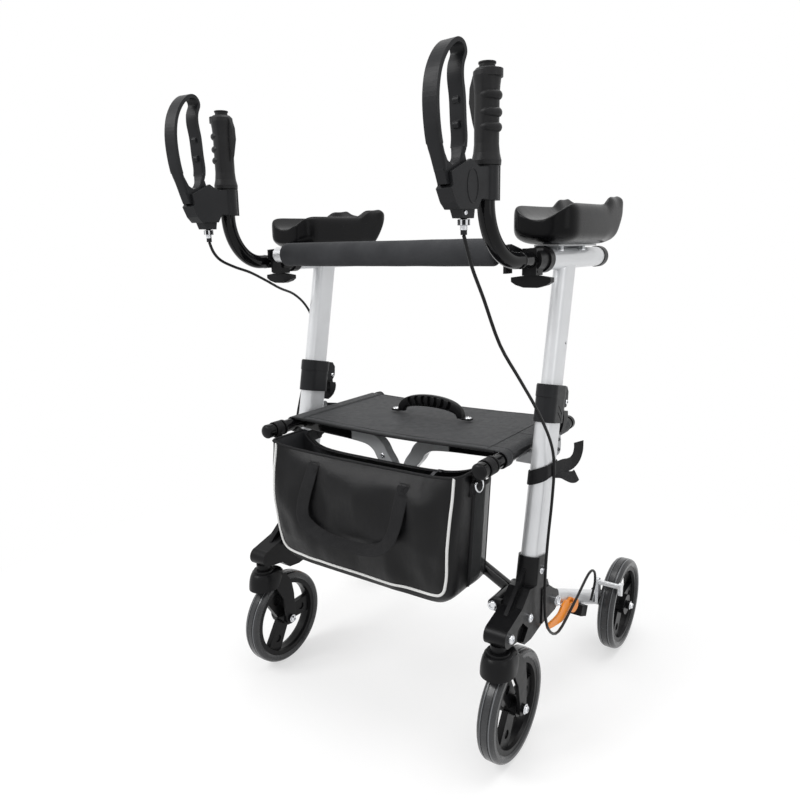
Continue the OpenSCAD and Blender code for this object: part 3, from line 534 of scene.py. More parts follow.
BRACE = BraceCoat(
    "brace_coat", (0.0045, 0.0045, 0.005), 0.18, coat=0.2, grain=1.5, relief=0.02, drift=0.2, edge=5.0,
    gloss=0.25,
)
WEBBING = Woven(
    "black_webbing", (0.011, 0.011, 0.0118), 0.6, sheen=0.03, relief=0.8, drift=0.24, gloss=0.14, pitch=1.1,
    ribs=2.6,
)
SEAT_CLOTH = Woven(
    "grey_nylon", (0.03, 0.031, 0.033), 0.6, sheen=0.05, relief=0.5, drift=0.14, gloss=0.2, pitch=0.8,
    crease=0.05,
)
BAG_CLOTH = Woven(
    "black_nylon", (0.0042, 0.0042, 0.0048), 0.33, sheen=0.01, relief=0.2, drift=0.18, gloss=0.2, pitch=0.6,
    crease=0.4,
)
# Inner cloth painted grey, lighter than the black outer cloth, as a painted sheen on the bag's inside walls.
BAG_INSIDE_SHEEN = Woven(
    "inside_painted_sheen", (0.03, 0.031, 0.034), 0.42, sheen=0.1, relief=0.3, drift=0.14, gloss=0.35, pitch=0.6,
    crease=0.25,
)
PIPING = Woven("white_piping", (0.74, 0.74, 0.73), 0.6, relief=0.5, drift=0.05, pitch=0.8)
NET = NetCloth("pocket_net", (0.03, 0.031, 0.032), 0.6, relief=0.4, drift=0.2, gloss=0.15, pitch=1.6)
THREAD = Finish("sewing_thread", (0.014, 0.014, 0.015), 0.6, grain=0.3, relief=0.3, edge=0.2, gloss=0.12)
GREY_STEEL = Finish(
    "grey_steel", (0.36, 0.37, 0.38), 0.38, 0.7, grain=0.7, relief=0.08, drift=0.08, edge_wear_and_highlight=0.2, edge=0.5
)


def smooth_path(points: Sequence[Sequence[float]], steps: int) -> list[Vector]:
    """Run a smooth line through points.

    Args:
        points: Points to pass, in any unit.
        steps: Pieces between two neighbours.

    Returns:
        Points of the smooth line.
    """
    row = [Vector(p) for p in points]
    line: list[Vector] = []
    for i in range(len(row) - 1):
        a, b, c, d = (row[min(max(i + k, 0), len(row) - 1)] for k in (-1, 0, 1, 2))
        for k in range(steps):
            t = k / steps
            square, cube = 2 * a - 5 * b + 4 * c - d, 3 * b - a - 3 * c + d
            line.append(0.5 * (2 * b + (c - a) * t + square * t * t + cube * t**3))
    return line + [row[-1]]


def signed_power(value: float, power: float) -> float:
    """Raise a number's size to a power and keep its sign."""
    return math.copysign(abs(value) ** power, value)


def turns(count: int) -> list[float]:
    """Return angles spread evenly round a circle."""
    return [math.tau * k / count for k in range(count)]


def soft_box(count: int, across: float, up: float, round_x: float, round_y: float) -> list[Pair]:
    """Return the outline of a box with soft corners, about its middle.

    Args:
        count: Points of the outline.
        across: Half of the width.
        up: Half of the height.
        round_x: Power on the cosine, 1 for an ellipse and 0 for a box.
        round_y: Power on the sine.

    Returns:
        Pairs in the unit of the sizes.
    """
    angles = turns(count)
    wide = [across * signed_power(math.cos(a), round_x) for a in angles]
    return list(zip(wide, [up * signed_power(math.sin(a), round_y) for a in angles]))


def ease(t: float) -> float:
    """Return a smooth step from 0 to 1."""
    c = min(max(t, 0.0), 1.0)
    return c * c * (3.0 - 2.0 * c)


def past(value: float, start: float, span: float) -> float:
    """Return how far a value is past a start, in spans, and 0 before it."""
    return max(0.0, (value - start) / span)


def square_frame(axis: Vector) -> tuple[Vector, Vector]:
    """Find two directions square to an axis.

    Args:
        axis: Unit direction.

    Returns:
        Two unit directions square to it and to each other.
    """
    start = UP if abs(axis.z) < 0.9 else Vector((1.0, 0.0, 0.0))
    first = axis.cross(start).normalized()
    return first, axis.cross(first).normalized()


def around(at: Vector, first: Vector, second: Vector, radius: float, sides: int) -> Ring:
    """Return a circle, from its point in the first direction towards the one in the second."""
    return [at + radius * (math.cos(a) * first + math.sin(a) * second) for a in turns(sides)]


class Form:
    """Faces of one piece while it is made, with lengths kept for its weave."""

    def __init__(self) -> None:
        """Start with no faces."""
        self.points: list[Vector] = []
        self.faces: list[tuple[int, ...]] = []
        self.slots: list[int] = []
        self.lays: list[list[Pair]] = []

    def face(self, corners: Sequence[int], lay: list[Pair], slot: int) -> None:
        """Keep one face.

        Args:
            corners: Places of its points in the list of points.
            lay: Its corners in the weave, in metres.
            slot: Its finish.
        """
        self.faces.append(tuple(corners))
        self.lays.append(lay)
        self.slots.append(slot)

    def skin(
        self,
        rings: Sequence[Ring],
        slot: int = 0,
        closed: bool = True,
        caps: tuple[bool, bool] = (True, True),
    ) -> None:
        """Stretch a skin over rings of equal count.

        Args:
            rings: Rings in order.
            slot: Finish of the faces.
            closed: Whether each ring closes on itself.
            caps: Whether the first and last ring are filled.
        """
        base, n = len(self.points), len(rings[0])
        probes = range(0, n, 4)
        along = [0.0]
        for low, high in zip(rings, rings[1:]):
            along.append(along[-1] + sum((high[k] - low[k]).length for k in probes) / len(probes))
        for ring in rings:
            self.points.extend(ring)
        for i in range(len(rings) - 1):
            start, above = base + i * n, base + (i + 1) * n
            left = 0.0
            for k in range(n if closed else n - 1):
                j = (k + 1) % n
                right = left + (rings[i][j] - rings[i][k]).length
                y0, y1 = along[i], along[i + 1]
                lay = [(left, y0), (right, y0), (right, y1), (left, y1)]
                self.face((start + k, start + j, above + j, above + k), lay, slot)
                left = right
        for filled, i in zip(caps, (0, len(rings) - 1)):
            if closed and filled:
                loop = [base + i * n + k for k in range(n)]
                loop = loop if i else loop[::-1]
                self.face(loop, [(self.points[p].x, self.points[p].y + self.points[p].z) for p in loop], slot)

    def tube(
        self, path: Sequence[Vector], radius: float, sides: int = 12, slot: int = 0, loop: bool = False
    ) -> None:
        """Sweep a round section along a path.

        Args:
            path: Points of the middle line, in metres.
            radius: Radius in millimetres.
            sides: Sides of the section.
            slot: Finish of the faces.
            loop: Whether the path closes on itself.
        """
        rings: list[Ring] = []
        count = len(path)
        first = Vector()
        for i, p in enumerate(path):
            before = path[(i - 1) % count] if loop else path[max(i - 1, 0)]
            after = path[(i + 1) % count] if loop else path[min(i + 1, count - 1)]
            ahead = (after - before).normalized()
            if not rings:
                first = square_frame(ahead)[0]
            first = (first - ahead * first.dot(ahead)).normalized()
            rings.append(around(p, first, ahead.cross(first), radius * MM, sides))
        if loop:
            rings.append([v.copy() for v in rings[0]])
        self.skin(rings, slot, caps=(not loop, not loop))

    def band(
        self, path: Sequence[Vector], normals: Sequence[Vector], width: float, thick: float, slot: int = 0
    ) -> None:
        """Sweep a flat band with rounded edges along a path.

        Args:
            path: Points of the middle line, in metres.
            normals: Direction out of the band's face at each point.
            width: Width in millimetres.
            thick: Thickness in millimetres.
            slot: Finish of the faces.
        """
        rings: list[Ring] = []
        w, t = width * MM / 2, thick * MM / 2
        across = (-w + t, -w / 3, w / 3, w - t)
        outline = [(a, -t) for a in across] + [(w, 0)] + [(a, t) for a in reversed(across)] + [(-w, 0)]
        for i, p in enumerate(path):
            ahead = (path[min(i + 1, len(path) - 1)] - path[max(i - 1, 0)]).normalized()
            out = (normals[i] - ahead * normals[i].dot(ahead)).normalized()
            side = ahead.cross(out)
            rings.append([p + side * a + out * b for a, b in outline])
        self.skin(rings, slot)

    def turned(
        self, profile: Sequence[Pair], at: Vector, axis: Vector, slot: int = 0, sides: int = 28
    ) -> None:
        """Turn a profile of radius and height, in millimetres, round an axis with its foot at a point."""
        across = square_frame(axis)
        self.skin([around(at + axis * (h * MM), *across, r * MM, sides) for r, h in profile], slot)

    def bolt(self, at: Vector, axis: Vector, radius: float, height: float, slot: int = 0) -> None:
        """Add a button head with a hexagon socket.

        Args:
            at: Middle of the head's seat, in metres.
            axis: Unit direction out of the seat.
            radius: Radius of the head in millimetres.
            height: Height of the head in millimetres.
            slot: Finish of the faces.
        """
        first, second = square_frame(axis)
        sixth = math.pi / 3
        dome = [(1.0, 0.0), (1.0, 0.4), (0.95, 0.62), (0.8, 0.86), (0.62, 1.0)]
        socket = [(0.43, 1.0), (0.41, 0.35), (0.05, 0.3)]
        rings: list[Ring] = []
        for share, lift, hexed in [(*row, False) for row in dome] + [(*row, True) for row in socket]:
            ring: Ring = []
            for a in turns(24):
                corner = 1.0 / math.cos((a + sixth / 2) % sixth - sixth / 2) if hexed else 1.0
                reach = radius * MM * share * corner
                across = math.cos(a) * first + math.sin(a) * second
                ring.append(at + axis * (height * lift * MM) + reach * across)
            rings.append(ring)
        self.skin(rings, slot)

    def slab(self, outline: Sequence[Vector], push: Vector, slot: int = 0, edge: float = 0.6) -> None:
        """Push a flat outline out to a slab with eased edges.

        Args:
            outline: Corners in order, in metres.
            push: Thickness as a vector, in metres.
            slot: Finish of the faces.
            edge: Size of the eased edge in millimetres.
        """
        middle = sum(outline, Vector()) / len(outline)
        inner = [p + (middle - p).normalized() * edge * MM for p in outline]
        soft = push.normalized() * edge * MM
        walls = [[p + soft for p in outline], [p + push - soft for p in outline]]
        self.skin([inner, *walls, [p + push for p in inner]], slot)

    def stitches(self, path: Sequence[Vector], pitch: float, slot: int = 0) -> None:
        """Lay a row of stitches along a path.

        Args:
            path: Points on the cloth, in metres.
            pitch: Distance between stitches in millimetres.
            slot: Finish of the faces.
        """
        carry = 0.0
        for a, b in zip(path, path[1:]):
            gap = (b - a).length
            if gap < 1e-7:
                continue
            ahead = (b - a) / gap
            while carry < gap:
                start = a + ahead * carry
                self.tube([start + ahead * pitch * MM * share for share in (0.0, 0.33, 0.66)], 0.5, 6, slot)
                carry += pitch * MM
            carry -= gap

    def piece(self, name: str, finishes: Sequence[Finish], sharp: float = 38.0, level: int = 0) -> Piece:
        """Turn the faces into an object.

        Args:
            name: Name of the piece.
            finishes: Finishes by slot.
            sharp: Angle in degrees above which an edge stays sharp.
            level: Levels of subdivision.

        Returns:
            The new object.
        """
        mesh = bpy.data.meshes.new(name)
        mesh.from_pydata([tuple(p) for p in self.points], [], self.faces)
        for finish in finishes:
            mesh.materials.append(finish.make())
        lay = mesh.uv_layers.new(name="weave")
        for face, slot, corners in zip(mesh.polygons, self.slots, self.lays):
            face.material_index = slot
            for loop, corner in zip(face.loop_indices, corners):
                lay.data[loop].uv = corner
        work = bmesh.new()
        work.from_mesh(mesh)
        bmesh.ops.remove_doubles(work, verts=work.verts, dist=1e-6)
        bmesh.ops.recalc_face_normals(work, faces=work.faces)
        work.to_mesh(mesh)
        work.free()
        mesh.shade_smooth()
        mesh.set_sharp_from_angle(angle=math.radians(sharp))
        piece = bpy.data.objects.new(name, mesh)
        bpy.context.scene.collection.objects.link(piece)
        if level:
            rounder = piece.modifiers.new("rounder", "SUBSURF")
            rounder.levels = rounder.render_levels = level
        return piece

    def place(
        self, name: str, finishes: Sequence[Finish], body: str, slot: str, *nodes: str, sharp: float = 38.0
    ) -> Piece:
        """Turn the faces into an object, as piece does, and seat it as seat_on does."""
        return seat_on(self.piece(name, finishes, sharp), body, slot, *nodes)


def seat_on(piece: Piece, body: str, slot: str, *nodes: str) -> Piece:
    """Let a piece ride on a body and log it.

    Args:
        piece: The new piece.
        body: Body that it moves with.
        slot: Not used.
        nodes: CAD nodes that it stands for.

    Returns:
        The same piece.
    """
    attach(piece, body)
    if nodes:
        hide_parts(*nodes)
    LOG.info("%s rides on %s", piece.name, body)
    return piece


@dataclass
class Studio:
    """Camera, floor and light of the picture.

    Places are in metres, the focal length and the picture's width in pixels, the sensor in millimetres.
    """

    eye: Triple = (0.7434, -1.1563, 0.8891)
    right: Triple = (0.8202, 0.5718, -0.0173)
    up: Triple = (-0.1094, 0.1864, 0.9764)
    focal: float = 691.95
    picture: float = 800.0
    sensor: float = 36.0
    sky: float = 0.62
    floor_glow: float = 0.56
    floor_fade: Pair = (0.6, 1.3)
    floor_z: float = -0.0006

    def camera(self) -> None:
        """Stand the camera where the picture was taken."""
        lens = bpy.data.cameras.new("picture_camera")
        lens.sensor_width = self.sensor
        lens.lens = self.sensor * self.focal / self.picture
        eye = bpy.data.objects.new("picture_camera", lens)
        x = Vector(self.right).normalized()
        back = x.cross(Vector(self.up)).normalized()
        y = back.cross(x)
        eye.matrix_world = Matrix.Translation(self.eye) @ Matrix((x, y, back)).transposed().to_4x4()
        bpy.context.scene.collection.objects.link(eye)
        bpy.context.scene.camera = eye

    def floor(self) -> None:
        """Lay a pale floor that keeps the walker's shadow and fades into the background."""
        paper = bpy.data.materials.new("pale_floor")
        kit = ShaderKit(paper)
        kit.tree.nodes.remove(kit.skin)
        grain = kit.add("ShaderNodeTexNoise", Scale=3.0).outputs[0]
        tone = kit.blend(grain, (0.44, 0.44, 0.44, 1.0), (0.46, 0.46, 0.46, 1.0))
        shaded = kit.add("ShaderNodeBsdfDiffuse", tone).outputs[0]
        glow = kit.add("ShaderNodeEmission", Strength=self.floor_glow).outputs[0]
        near = kit.add("ShaderNodeAddShader", shaded, glow).outputs[0]
        away = kit.add("ShaderNodeVectorMath", kit.add("ShaderNodeNewGeometry").outputs["Position"])
        away.operation = "LENGTH"
        fade = kit.spread(away.outputs["Value"], 0.0, 1.0, *self.floor_fade)
        far = kit.add("ShaderNodeEmission").outputs[0]
        shown = kit.add("ShaderNodeMixShader", fade, near, far).outputs[0]
        matte = kit.add("ShaderNodeBsdfDiffuse", (0.8, 0.8, 0.8, 1.0)).outputs[0]
        pick = kit.add("ShaderNodeMixShader", kit.background_ray(), matte, shown).outputs[0]
        kit.feed(kit.tree.nodes["Material Output"].inputs[0], pick)
        form = Form()
        rows = [-6.0, -2.0, 0.0, 2.0, 6.0]
        form.skin([[Vector((x, y, self.floor_z)) for x in rows] for y in rows], closed=False)
        ground = form.piece("studio_floor", [])
        ground.data.materials.append(paper)

    def lamp(self, name: str, at: Triple, aim: Triple, size: Pair, power: float) -> None:
        """Hang a soft box.

        Args:
            name: Name of the lamp.
            at: Place in metres.
            aim: Point that it faces.
            size: Width and height in metres.
            power: Power in watts.
        """
        light = bpy.data.lights.new(name, "AREA")
        light.shape = "RECTANGLE"
        light.size, light.size_y = size
        light.energy = power
        lamp = bpy.data.objects.new(name, light)
        lamp.location = at
        lamp.rotation_euler = (Vector(aim) - Vector(at)).to_track_quat("-Z", "Y").to_euler()
        bpy.context.scene.collection.objects.link(lamp)

    def light(self) -> None:
        """Set the sky and the soft boxes."""
        world = bpy.data.worlds.new("studio_sky")
        bpy.context.scene.world = world
        kit = ShaderKit(world)
        glow = kit.tree.nodes["Background"]
        kit.feed(glow.inputs["Strength"], kit.spread(kit.background_ray(), self.sky, 1.0, 0.0, 1.0))
        kit.feed(glow.inputs["Color"], (1.0, 1.0, 1.0, 1.0))
        self.lamp("key_box", (-1.5, -2.3, 2.9), (0.0, 0.0, 0.55), (1.6, 1.6), 60.0)
        self.lamp("top_box", (0.5, 0.4, 3.2), (0.0, 0.0, 0.6), (2.4, 2.0), 44.0)
        self.lamp("side_box", (3.0, -0.6, 1.5), (0.0, 0.0, 0.6), (1.2, 2.2), 9.0)

    def build(self) -> None:
        """Set camera, floor and light."""
        self.camera()
        self.floor()
        self.light()


@dataclass
class BrakeCable:
    """Brake cable of one side, from the ferrule to the rear leg, in three lengths."""

    side: Side
    sleeve: float = 5.2
    steps: int = 4
    leg_bend: tuple[int, int] = (3, 6)

    def route(self) -> tuple[list[Triple], int, int]:
        """Return the points, and the places of the two hand-overs among them.

        Returns:
            Points in millimetres, the count to the arm's point and the count to the post's point.
        """
        low = [
            (306, -95, 389), (307, -104, 330), (308, -104, 262), (308, -84, 212), (308, -36, 184),
            (308, 44, 208), (308, 116, 236), (308, 150, 228), (308, 158, 200), (307, 140, 166),
        ]
        if self.side is Side.RIGHT:
            high = [
                (260.5, -311.2, 903.5), (262, -302, 881), (265, -293, 856), (271, -272, 815),
                (282, -241, 746), (292, -191, 686), (299, -140, 629), (304, -94, 568), (306, -78, 520),
                (306, -82, 458),
            ]
            return high + low, 4, 9
        high = [
            (260.5, -311.2, 903.5), (262, -302, 886), (264, -284, 871), (268, -248, 858), (273, -207, 847),
            (279, -162, 830), (288, -113, 811), (297, -64, 796), (304, -22, 770), (306, 0, 736),
            (306, -10, 690), (306, -28, 620), (306, -58, 540), (306, -80, 458),
        ]
        return high + low, 6, 13

    def build(self) -> None:
        """Make the three lengths."""
        points, at_arm, at_post = self.route()
        line = smooth_path([self.side.point(*p) for p in points], self.steps)
        word = self.side.word
        bend = [at_post + k for k in self.leg_bend]
        cuts = [
            ("upper", 0, at_arm, f"handle_{word}", f"arm_{word}", 0, at_arm),
            ("middle", at_arm, at_post, f"arm_{word}", f"{word}_frame", at_arm, at_post),
            ("lower", at_post, len(points) - 1, f"{word}_frame", f"leg_{word}", *bend),
        ]
        for name, start, end, body_a, body_b, bend_a, bend_b in cuts:
            path = line[start * self.steps : end * self.steps + 1]
            form = Form()
            form.tube(path, self.sleeve / 2)
            piece = form.piece(f"brake_cable_{name}_{word}", [SLEEVE])
            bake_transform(piece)
            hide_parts(f"cable_{word}")


@dataclass
class HandleTrim:
    """Small metal parts on one brake handle, with heads as radius and height."""

    side: Side
    toe: float = 6.0
    pivot_y: float = -164.0
    ferrule: Triple = (0.0, -148.0, 36.0)
    housing_screw: Triple = (9.0, -157.0, 67.0)
    housing_head: Pair = (3.4, 2.2)
    clamp_screw: Triple = (6.0, -79.0, 108.0)
    clamp_head: Pair = (3.8, 2.8)
    thread_top: float = 14.4
    thread_pitch: float = 1.5

    def spot(self, x: float, y: float, z: float) -> Vector:
        """Place a point given outward, rearward and upward in the handle's own toed-in frame."""
        c, s = math.cos(math.radians(self.toe)), math.sin(math.radians(self.toe))
        return self.side.point(TRACK + x * c + y * s, self.pivot_y - x * s + y * c, ARM_HEIGHT + z)

    def build(self) -> None:
        """Make the ferrule with its nut, the screw above it and the clamp's screw."""
        word = self.side.word
        out = (self.spot(1, 0, 0) - self.spot(0, 0, 0)).normalized()
        rear = (self.spot(0, 1, 0) - self.spot(0, 0, 0)).normalized()
        form = Form()
        foot = self.spot(*self.ferrule)
        nut = [(0.1, 22.8), (8.2, 22.8), (8.8, 22.2), (8.8, 15.2), (8.2, 14.7), (4.8, 14.6)]
        form.turned(nut, foot, UP, 0, 6)
        for k in range(4):
            z = self.thread_top - self.thread_pitch * k
            form.turned([(4.7, z), (5.1, z - 0.4), (5.1, z - 0.9), (4.7, z - 1.4)], foot, UP, 0, 20)
        form.bolt(self.spot(*self.housing_screw), out, *self.housing_head)
        form.bolt(self.spot(*self.clamp_screw), rear, *self.clamp_head)
        form.place(f"cable_ferrule_{word}", [CHROME], f"handle_{word}", "bright_metal")


@dataclass
class LeverTrim:
    """Fairings that lead the lever's band into its root, by rearward place, height and width."""

    side: Side
    thick: float = 6.4
    front: tuple[Triple, ...] = (
        (-217, 186, 23.6), (-215.5, 168, 23.6), (-211, 150, 23.2), (-205, 136, 22), (-199, 118, 19),
    )
    rear: tuple[Triple, ...] = (
        (-161, 180, 23.6), (-159.8, 164, 23.6), (-159.8, 150, 23.4), (-162, 140, 19.5), (-166, 130, 15.6),
    )

    def strip(self, form: Form, marks: Sequence[Triple]) -> None:
        """Add a strip of changing width.

        Args:
            form: Faces to add to.
            marks: Rows of rearward place, height and width in millimetres.
        """
        trim = HandleTrim(self.side)
        rings: list[Ring] = []
        line = smooth_path(marks, 6)
        for i, (y, z, width) in enumerate(line):
            ahead = line[min(i + 1, len(line) - 1)] - line[max(i - 1, 0)]
            run = math.hypot(ahead.x, ahead.y)
            ny, nz = -ahead.y / run, ahead.x / run
            section = soft_box(32, width / 2, self.thick / 2, 0.35, 0.5)
            rings.append([trim.spot(x, y + ny * off, z + nz * off) for x, off in section])
        form.skin(rings)

    def build(self) -> None:
        """Make the front and the rear fairing."""
        form = Form()
        for marks in (self.front, self.rear):
            self.strip(form, marks)
        word = self.side.word
        form.place(f"lever_fairing_{word}", [CHARCOAL], f"lever_{word}", "black_plastic", sharp=50.0)


@dataclass
class ForearmPad:
    """Moulded forearm gutter of one side."""

    side: Side
    length: float = 266.0
    width: float = 110.0
    lip: float = 69.0
    trough: float = 38.0
    rear_floor: float = 34.0
    rear_corner: float = 15.0
    rear_round: float = 9.0
    rear_lift: float = 60.0
    nose: float = 40.0
    nose_lift: float = 13.0
    front: float = -104.0
    base: float = 889.0
    toe_in: float = 5.0
    screw_x: float = 17.0
    screw_y: Pair = (59.0, 157.0)
    screw_drop: float = 8.0
    screw_head: Pair = (4.6, 2.6)

    def rim(self, u: float, x: float) -> float:
        """Return the height of the gutter's upper side at a place.

        Args:
            u: Share of the length from the front.
            x: Millimetres from the gutter's middle.

        Returns:
            Millimetres above the base.
        """
        top = self.lip + 4 * u + self.rear_corner * ease((u - 0.65) / 0.15)
        top -= self.rear_round * past(u, 0.95, 0.05) ** 2
        floor = self.trough + self.rear_floor * past(u, 0.78, 0.22) ** 1.6
        return top - (top - floor) * max(0.0, 1 - (x / (0.42 * self.width)) ** 2) ** 0.9

    def skin_point(self, u: float, angle: float) -> Vector:
        """Return a point of the gutter's skin.

        Args:
            u: Share of the length from the front.
            angle: Angle round the section in radians.

        Returns:
            The point in metres.
        """
        f = min(1.0, u * self.length / self.nose)
        span = 0.45 + 0.55 * math.sqrt(max(0.0, 1 - (1 - f) ** 2)) - 0.1 * past(u, 0.94, 0.06) ** 2
        edge = self.width / 2 * span * (1 + 0.08 * u * u)
        low = self.nose_lift * max(0.0, 1 - u / 0.16) ** 2 + self.rear_lift * past(u, 0.87, 0.13) ** 1.3
        c, s = math.cos(angle), math.sin(angle)
        x = edge * signed_power(c, 0.5) * (1 - 0.2 * s * s if s < 0 else 1)
        middle = (self.rim(u, edge) + low) / 2
        reach = self.rim(u, x) - middle if s > 0 else middle - low
        z = middle + reach * signed_power(s, 0.45)
        return self.side.point(TRACK + x - self.toe_in * u * u, self.front + u * self.length, self.base + z)

    def build(self) -> None:
        """Make the gutter and its clip screws."""
        rows = [0.0, 0.005, 0.014, 0.028, 0.046, 0.068, 0.095, 0.125, 0.16]
        rows += [0.16 + 0.0265 * k for k in range(1, 29)]
        rows += [0.925, 0.945, 0.962, 0.976, 0.987, 0.995, 1.0]
        form = Form()
        form.skin([[self.skin_point(u, a) for a in turns(96)] for u in rows])
        word = self.side.word
        pad = form.piece(f"forearm_pad_{word}", [PAD_SKIN], 80.0, 1)
        seat_on(pad, f"arm_{word}", "pad_foam", f"pad_{word}")
        screws = Form()
        for y in self.screw_y:
            for x in (-self.screw_x, self.screw_x):
                at = self.side.point(TRACK + x, self.front + y, self.base - self.screw_drop)
                screws.bolt(at, -UP, *self.screw_head)
        screws.place(f"pad_screws_{word}", [CHROME], f"arm_{word}", "bright_metal")


@dataclass
class FoamBar:
    """Foam sleeve on the bar between the forearms, with the bar's bare left end."""

    half: float = 235.0
    bare: float = 18.0
    radius: float = 22.0
    rounding: float = 12.0
    dent: float = 0.45
    y: float = -162.0
    z: float = 879.0

    def build(self) -> None:
        """Make the sleeve with its soft dents, and the bar's bare left end."""
        form = Form()
        rings: list[Ring] = []
        ends = [(6.0, 3.0), (11.0, 1.2), (16.5, 0.2), (19.6, 0.9), (21.2, 2.6), (21.9, 5.5)]
        left = self.bare - self.half
        span = self.half - left - 2 * self.rounding
        rows = [(left + h, r) for r, h in ends]
        rows += [(left + self.rounding + span * k / 56, self.radius) for k in range(57)]
        rows += [(self.half - h, r) for r, h in reversed(ends)]
        for x, r in rows:
            ring: Ring = []
            for a in turns(40):
                c, s = math.cos(a), math.sin(a)
                dent = self.dent * noise.noise(Vector((x * 0.018, c * 0.7, s * 0.7)))
                size = r + (dent - 0.2 if r > self.radius - 1 else 0)
                ring.append(Vector((x, self.y + size * c, self.z + size * s)) * MM)
            rings.append(ring)
        form.skin(rings)
        bar = form.piece("foam_sleeve", [FOAM], 60.0)
        seat_on(bar, "arm_left", "foam", "foam_bar")
        stub = Form()
        profile = [(0.1, -6.0), (13.2, -6.0), (14.0, -5.0), (14.0, 24.0), (0.1, 24.0)]
        stub.turned(profile, Vector((-self.half, self.y, self.z)) * MM, Side.RIGHT.out, 0, 40)
        stub.place("bar_bare_end", [SILVER], "arm_left", "silver")
        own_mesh(bar)


@dataclass
class PostStrap:
    """Webbing strap round one post, with its two loose ends."""

    side: Side
    z: float = 481.0
    width: float = 25.0
    thick: float = 2.2
    end_thick: float = 2.0
    gap: float = 1.5
    stitch: float = 4.0
    post_r: float = 16.0
    post_half: float = 15.0
    rise: float = 16.0
    slope: Pair = (0.4, 0.2)
    seam_x: float = 18.9
    seam_off: float = 9.5

    def spot(self, x: float, y: float, z: float) -> Vector:
        """Place a point given in the post's frame, with its foot at the strap."""
        return self.side.on_post(self.z, x, y, z)

    def slant(self, x: float, y: float) -> float:
        """Return the height of the strap's middle beside the post."""
        return self.rise + self.slope[0] * x + self.slope[1] * y

    def loop(self, grow: float) -> list[tuple[float, float, float, float]]:
        """Return the post's oval as points and outward directions.

        Args:
            grow: Distance outside the post in millimetres.

        Returns:
            Rows of x, y and the outward x and y.
        """
        rows: list[tuple[float, float, float, float]] = []
        r = self.post_r + grow
        for a in turns(48):
            shift = self.post_half if math.cos(a) > 0 else -self.post_half
            rows.append((r * math.sin(a), shift + r * math.cos(a), math.sin(a), math.cos(a)))
        return rows

    def ends(self) -> tuple[list[Triple], list[Triple]]:
        """Return the marks of the loose ends in the post's frame.

        Returns:
            Marks of the upper end and of the lower end.
        """
        lower = [(18, 12, 18), (23, 26, 17), (28, 40, 12), (32, 54, 8), (35, 66, 8), (36, 74, 11)]
        if self.side is Side.LEFT:
            upper = [(-18.5, 6, 12), (-20, 20, 22), (-22, 31, 36), (-23, 38, 52)]
            upper += [(-22, 43, 66), (-20, 44, 80)]
        else:
            upper = [(19, -4, 22), (21, 14, 26), (24, 32, 29), (27, 48, 30), (30, 62, 34), (33, 72, 44)]
            upper += [(34, 76, 58), (34, 73, 72)]
        return upper, lower

    def build(self) -> None:
        """Make the slanting loop and its two ends."""
        word = self.side.word
        form = Form()
        rows = self.loop(self.gap)
        path = [self.spot(x, y, self.slant(x, y)) for x, y, _, _ in rows]
        outs = [self.spot(x + u, y + v, self.slant(x, y)) - p for (x, y, u, v), p in zip(rows, path)]
        form.band(path + path[:2], outs + outs[:2], self.width, self.thick)
        for lift in (-self.seam_off, self.seam_off):
            seam = [self.spot(self.seam_x, y, self.slant(self.seam_x, y) + lift) for y in (-14, -4, 6, 14)]
            form.stitches(seam, self.stitch, 1)
        body, node = f"{word}_frame", f"strap_{word}"
        form.place(f"post_strap_{word}", [WEBBING, THREAD], body, "webbing", node)
        upper, lower = (smooth_path([self.spot(*m) for m in marks], 5) for marks in self.ends())
        shares = [k / len(upper) for k in range(len(upper))]
        loose = Form()
        twist = [self.side.way(self.side.value, -0.5 * t, 0.25 * t) for t in shares]
        loose.band(upper, twist, self.width - 1, self.end_thick)
        loose.band(lower, [self.side.way(1, -0.1, 0.45)] * len(lower), self.width - 3, self.end_thick)
        ends = loose.place(f"post_strap_ends_{word}", [WEBBING], body, "webbing", node)
        if self.side is Side.RIGHT:
            hinge = tuple(self.spot(17, 26, 20))
            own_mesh(ends)


@dataclass
class PostTrim:
    """Plate behind one post and the bright pin of its collar."""

    side: Side
    plate: Triple = (TRACK + 3.0, -3.0, 533.0)
    plate_half: Pair = (15.0, 19.0)
    plate_thick: float = 2.6
    screws: tuple[Pair, ...] = ((1.0, 543.0), (2.0, 524.0))
    screw_head: Pair = (3.6, 2.0)
    collar_z: float = 584.0
    pin: Triple = (12.0, 46.0, 37.0)
    pin_span: float = 24.0
    pin_head: Pair = (4.6, 3.0)

    def build(self) -> None:
        """Make the drilled plate with its screws, and the pin heads of the quick-release lever."""
        word = self.side.word
        out = self.side.out
        plate = Form()
        x, y, z = self.plate
        outline = [self.side.point(x, y + a, z + b) for a, b in soft_box(32, *self.plate_half, 0.6, 0.6)]
        plate.slab(outline, out * self.plate_thick * MM)
        for spot in self.screws:
            plate.bolt(self.side.point(x + self.plate_thick, *spot), out, *self.screw_head, 1)
        plate.place(f"post_plate_{word}", [GREY_STEEL, DARK_METAL], f"{word}_frame", "silver")
        pin = self.side.on_post(self.collar_z, *self.pin)
        head = Form()
        head.bolt(pin, out, *self.pin_head)
        head.bolt(pin - out * self.pin_span * MM, -out, *self.pin_head)
        head.place(f"collar_pin_{word}", [CHROME], f"{word}_frame", "bright_metal")


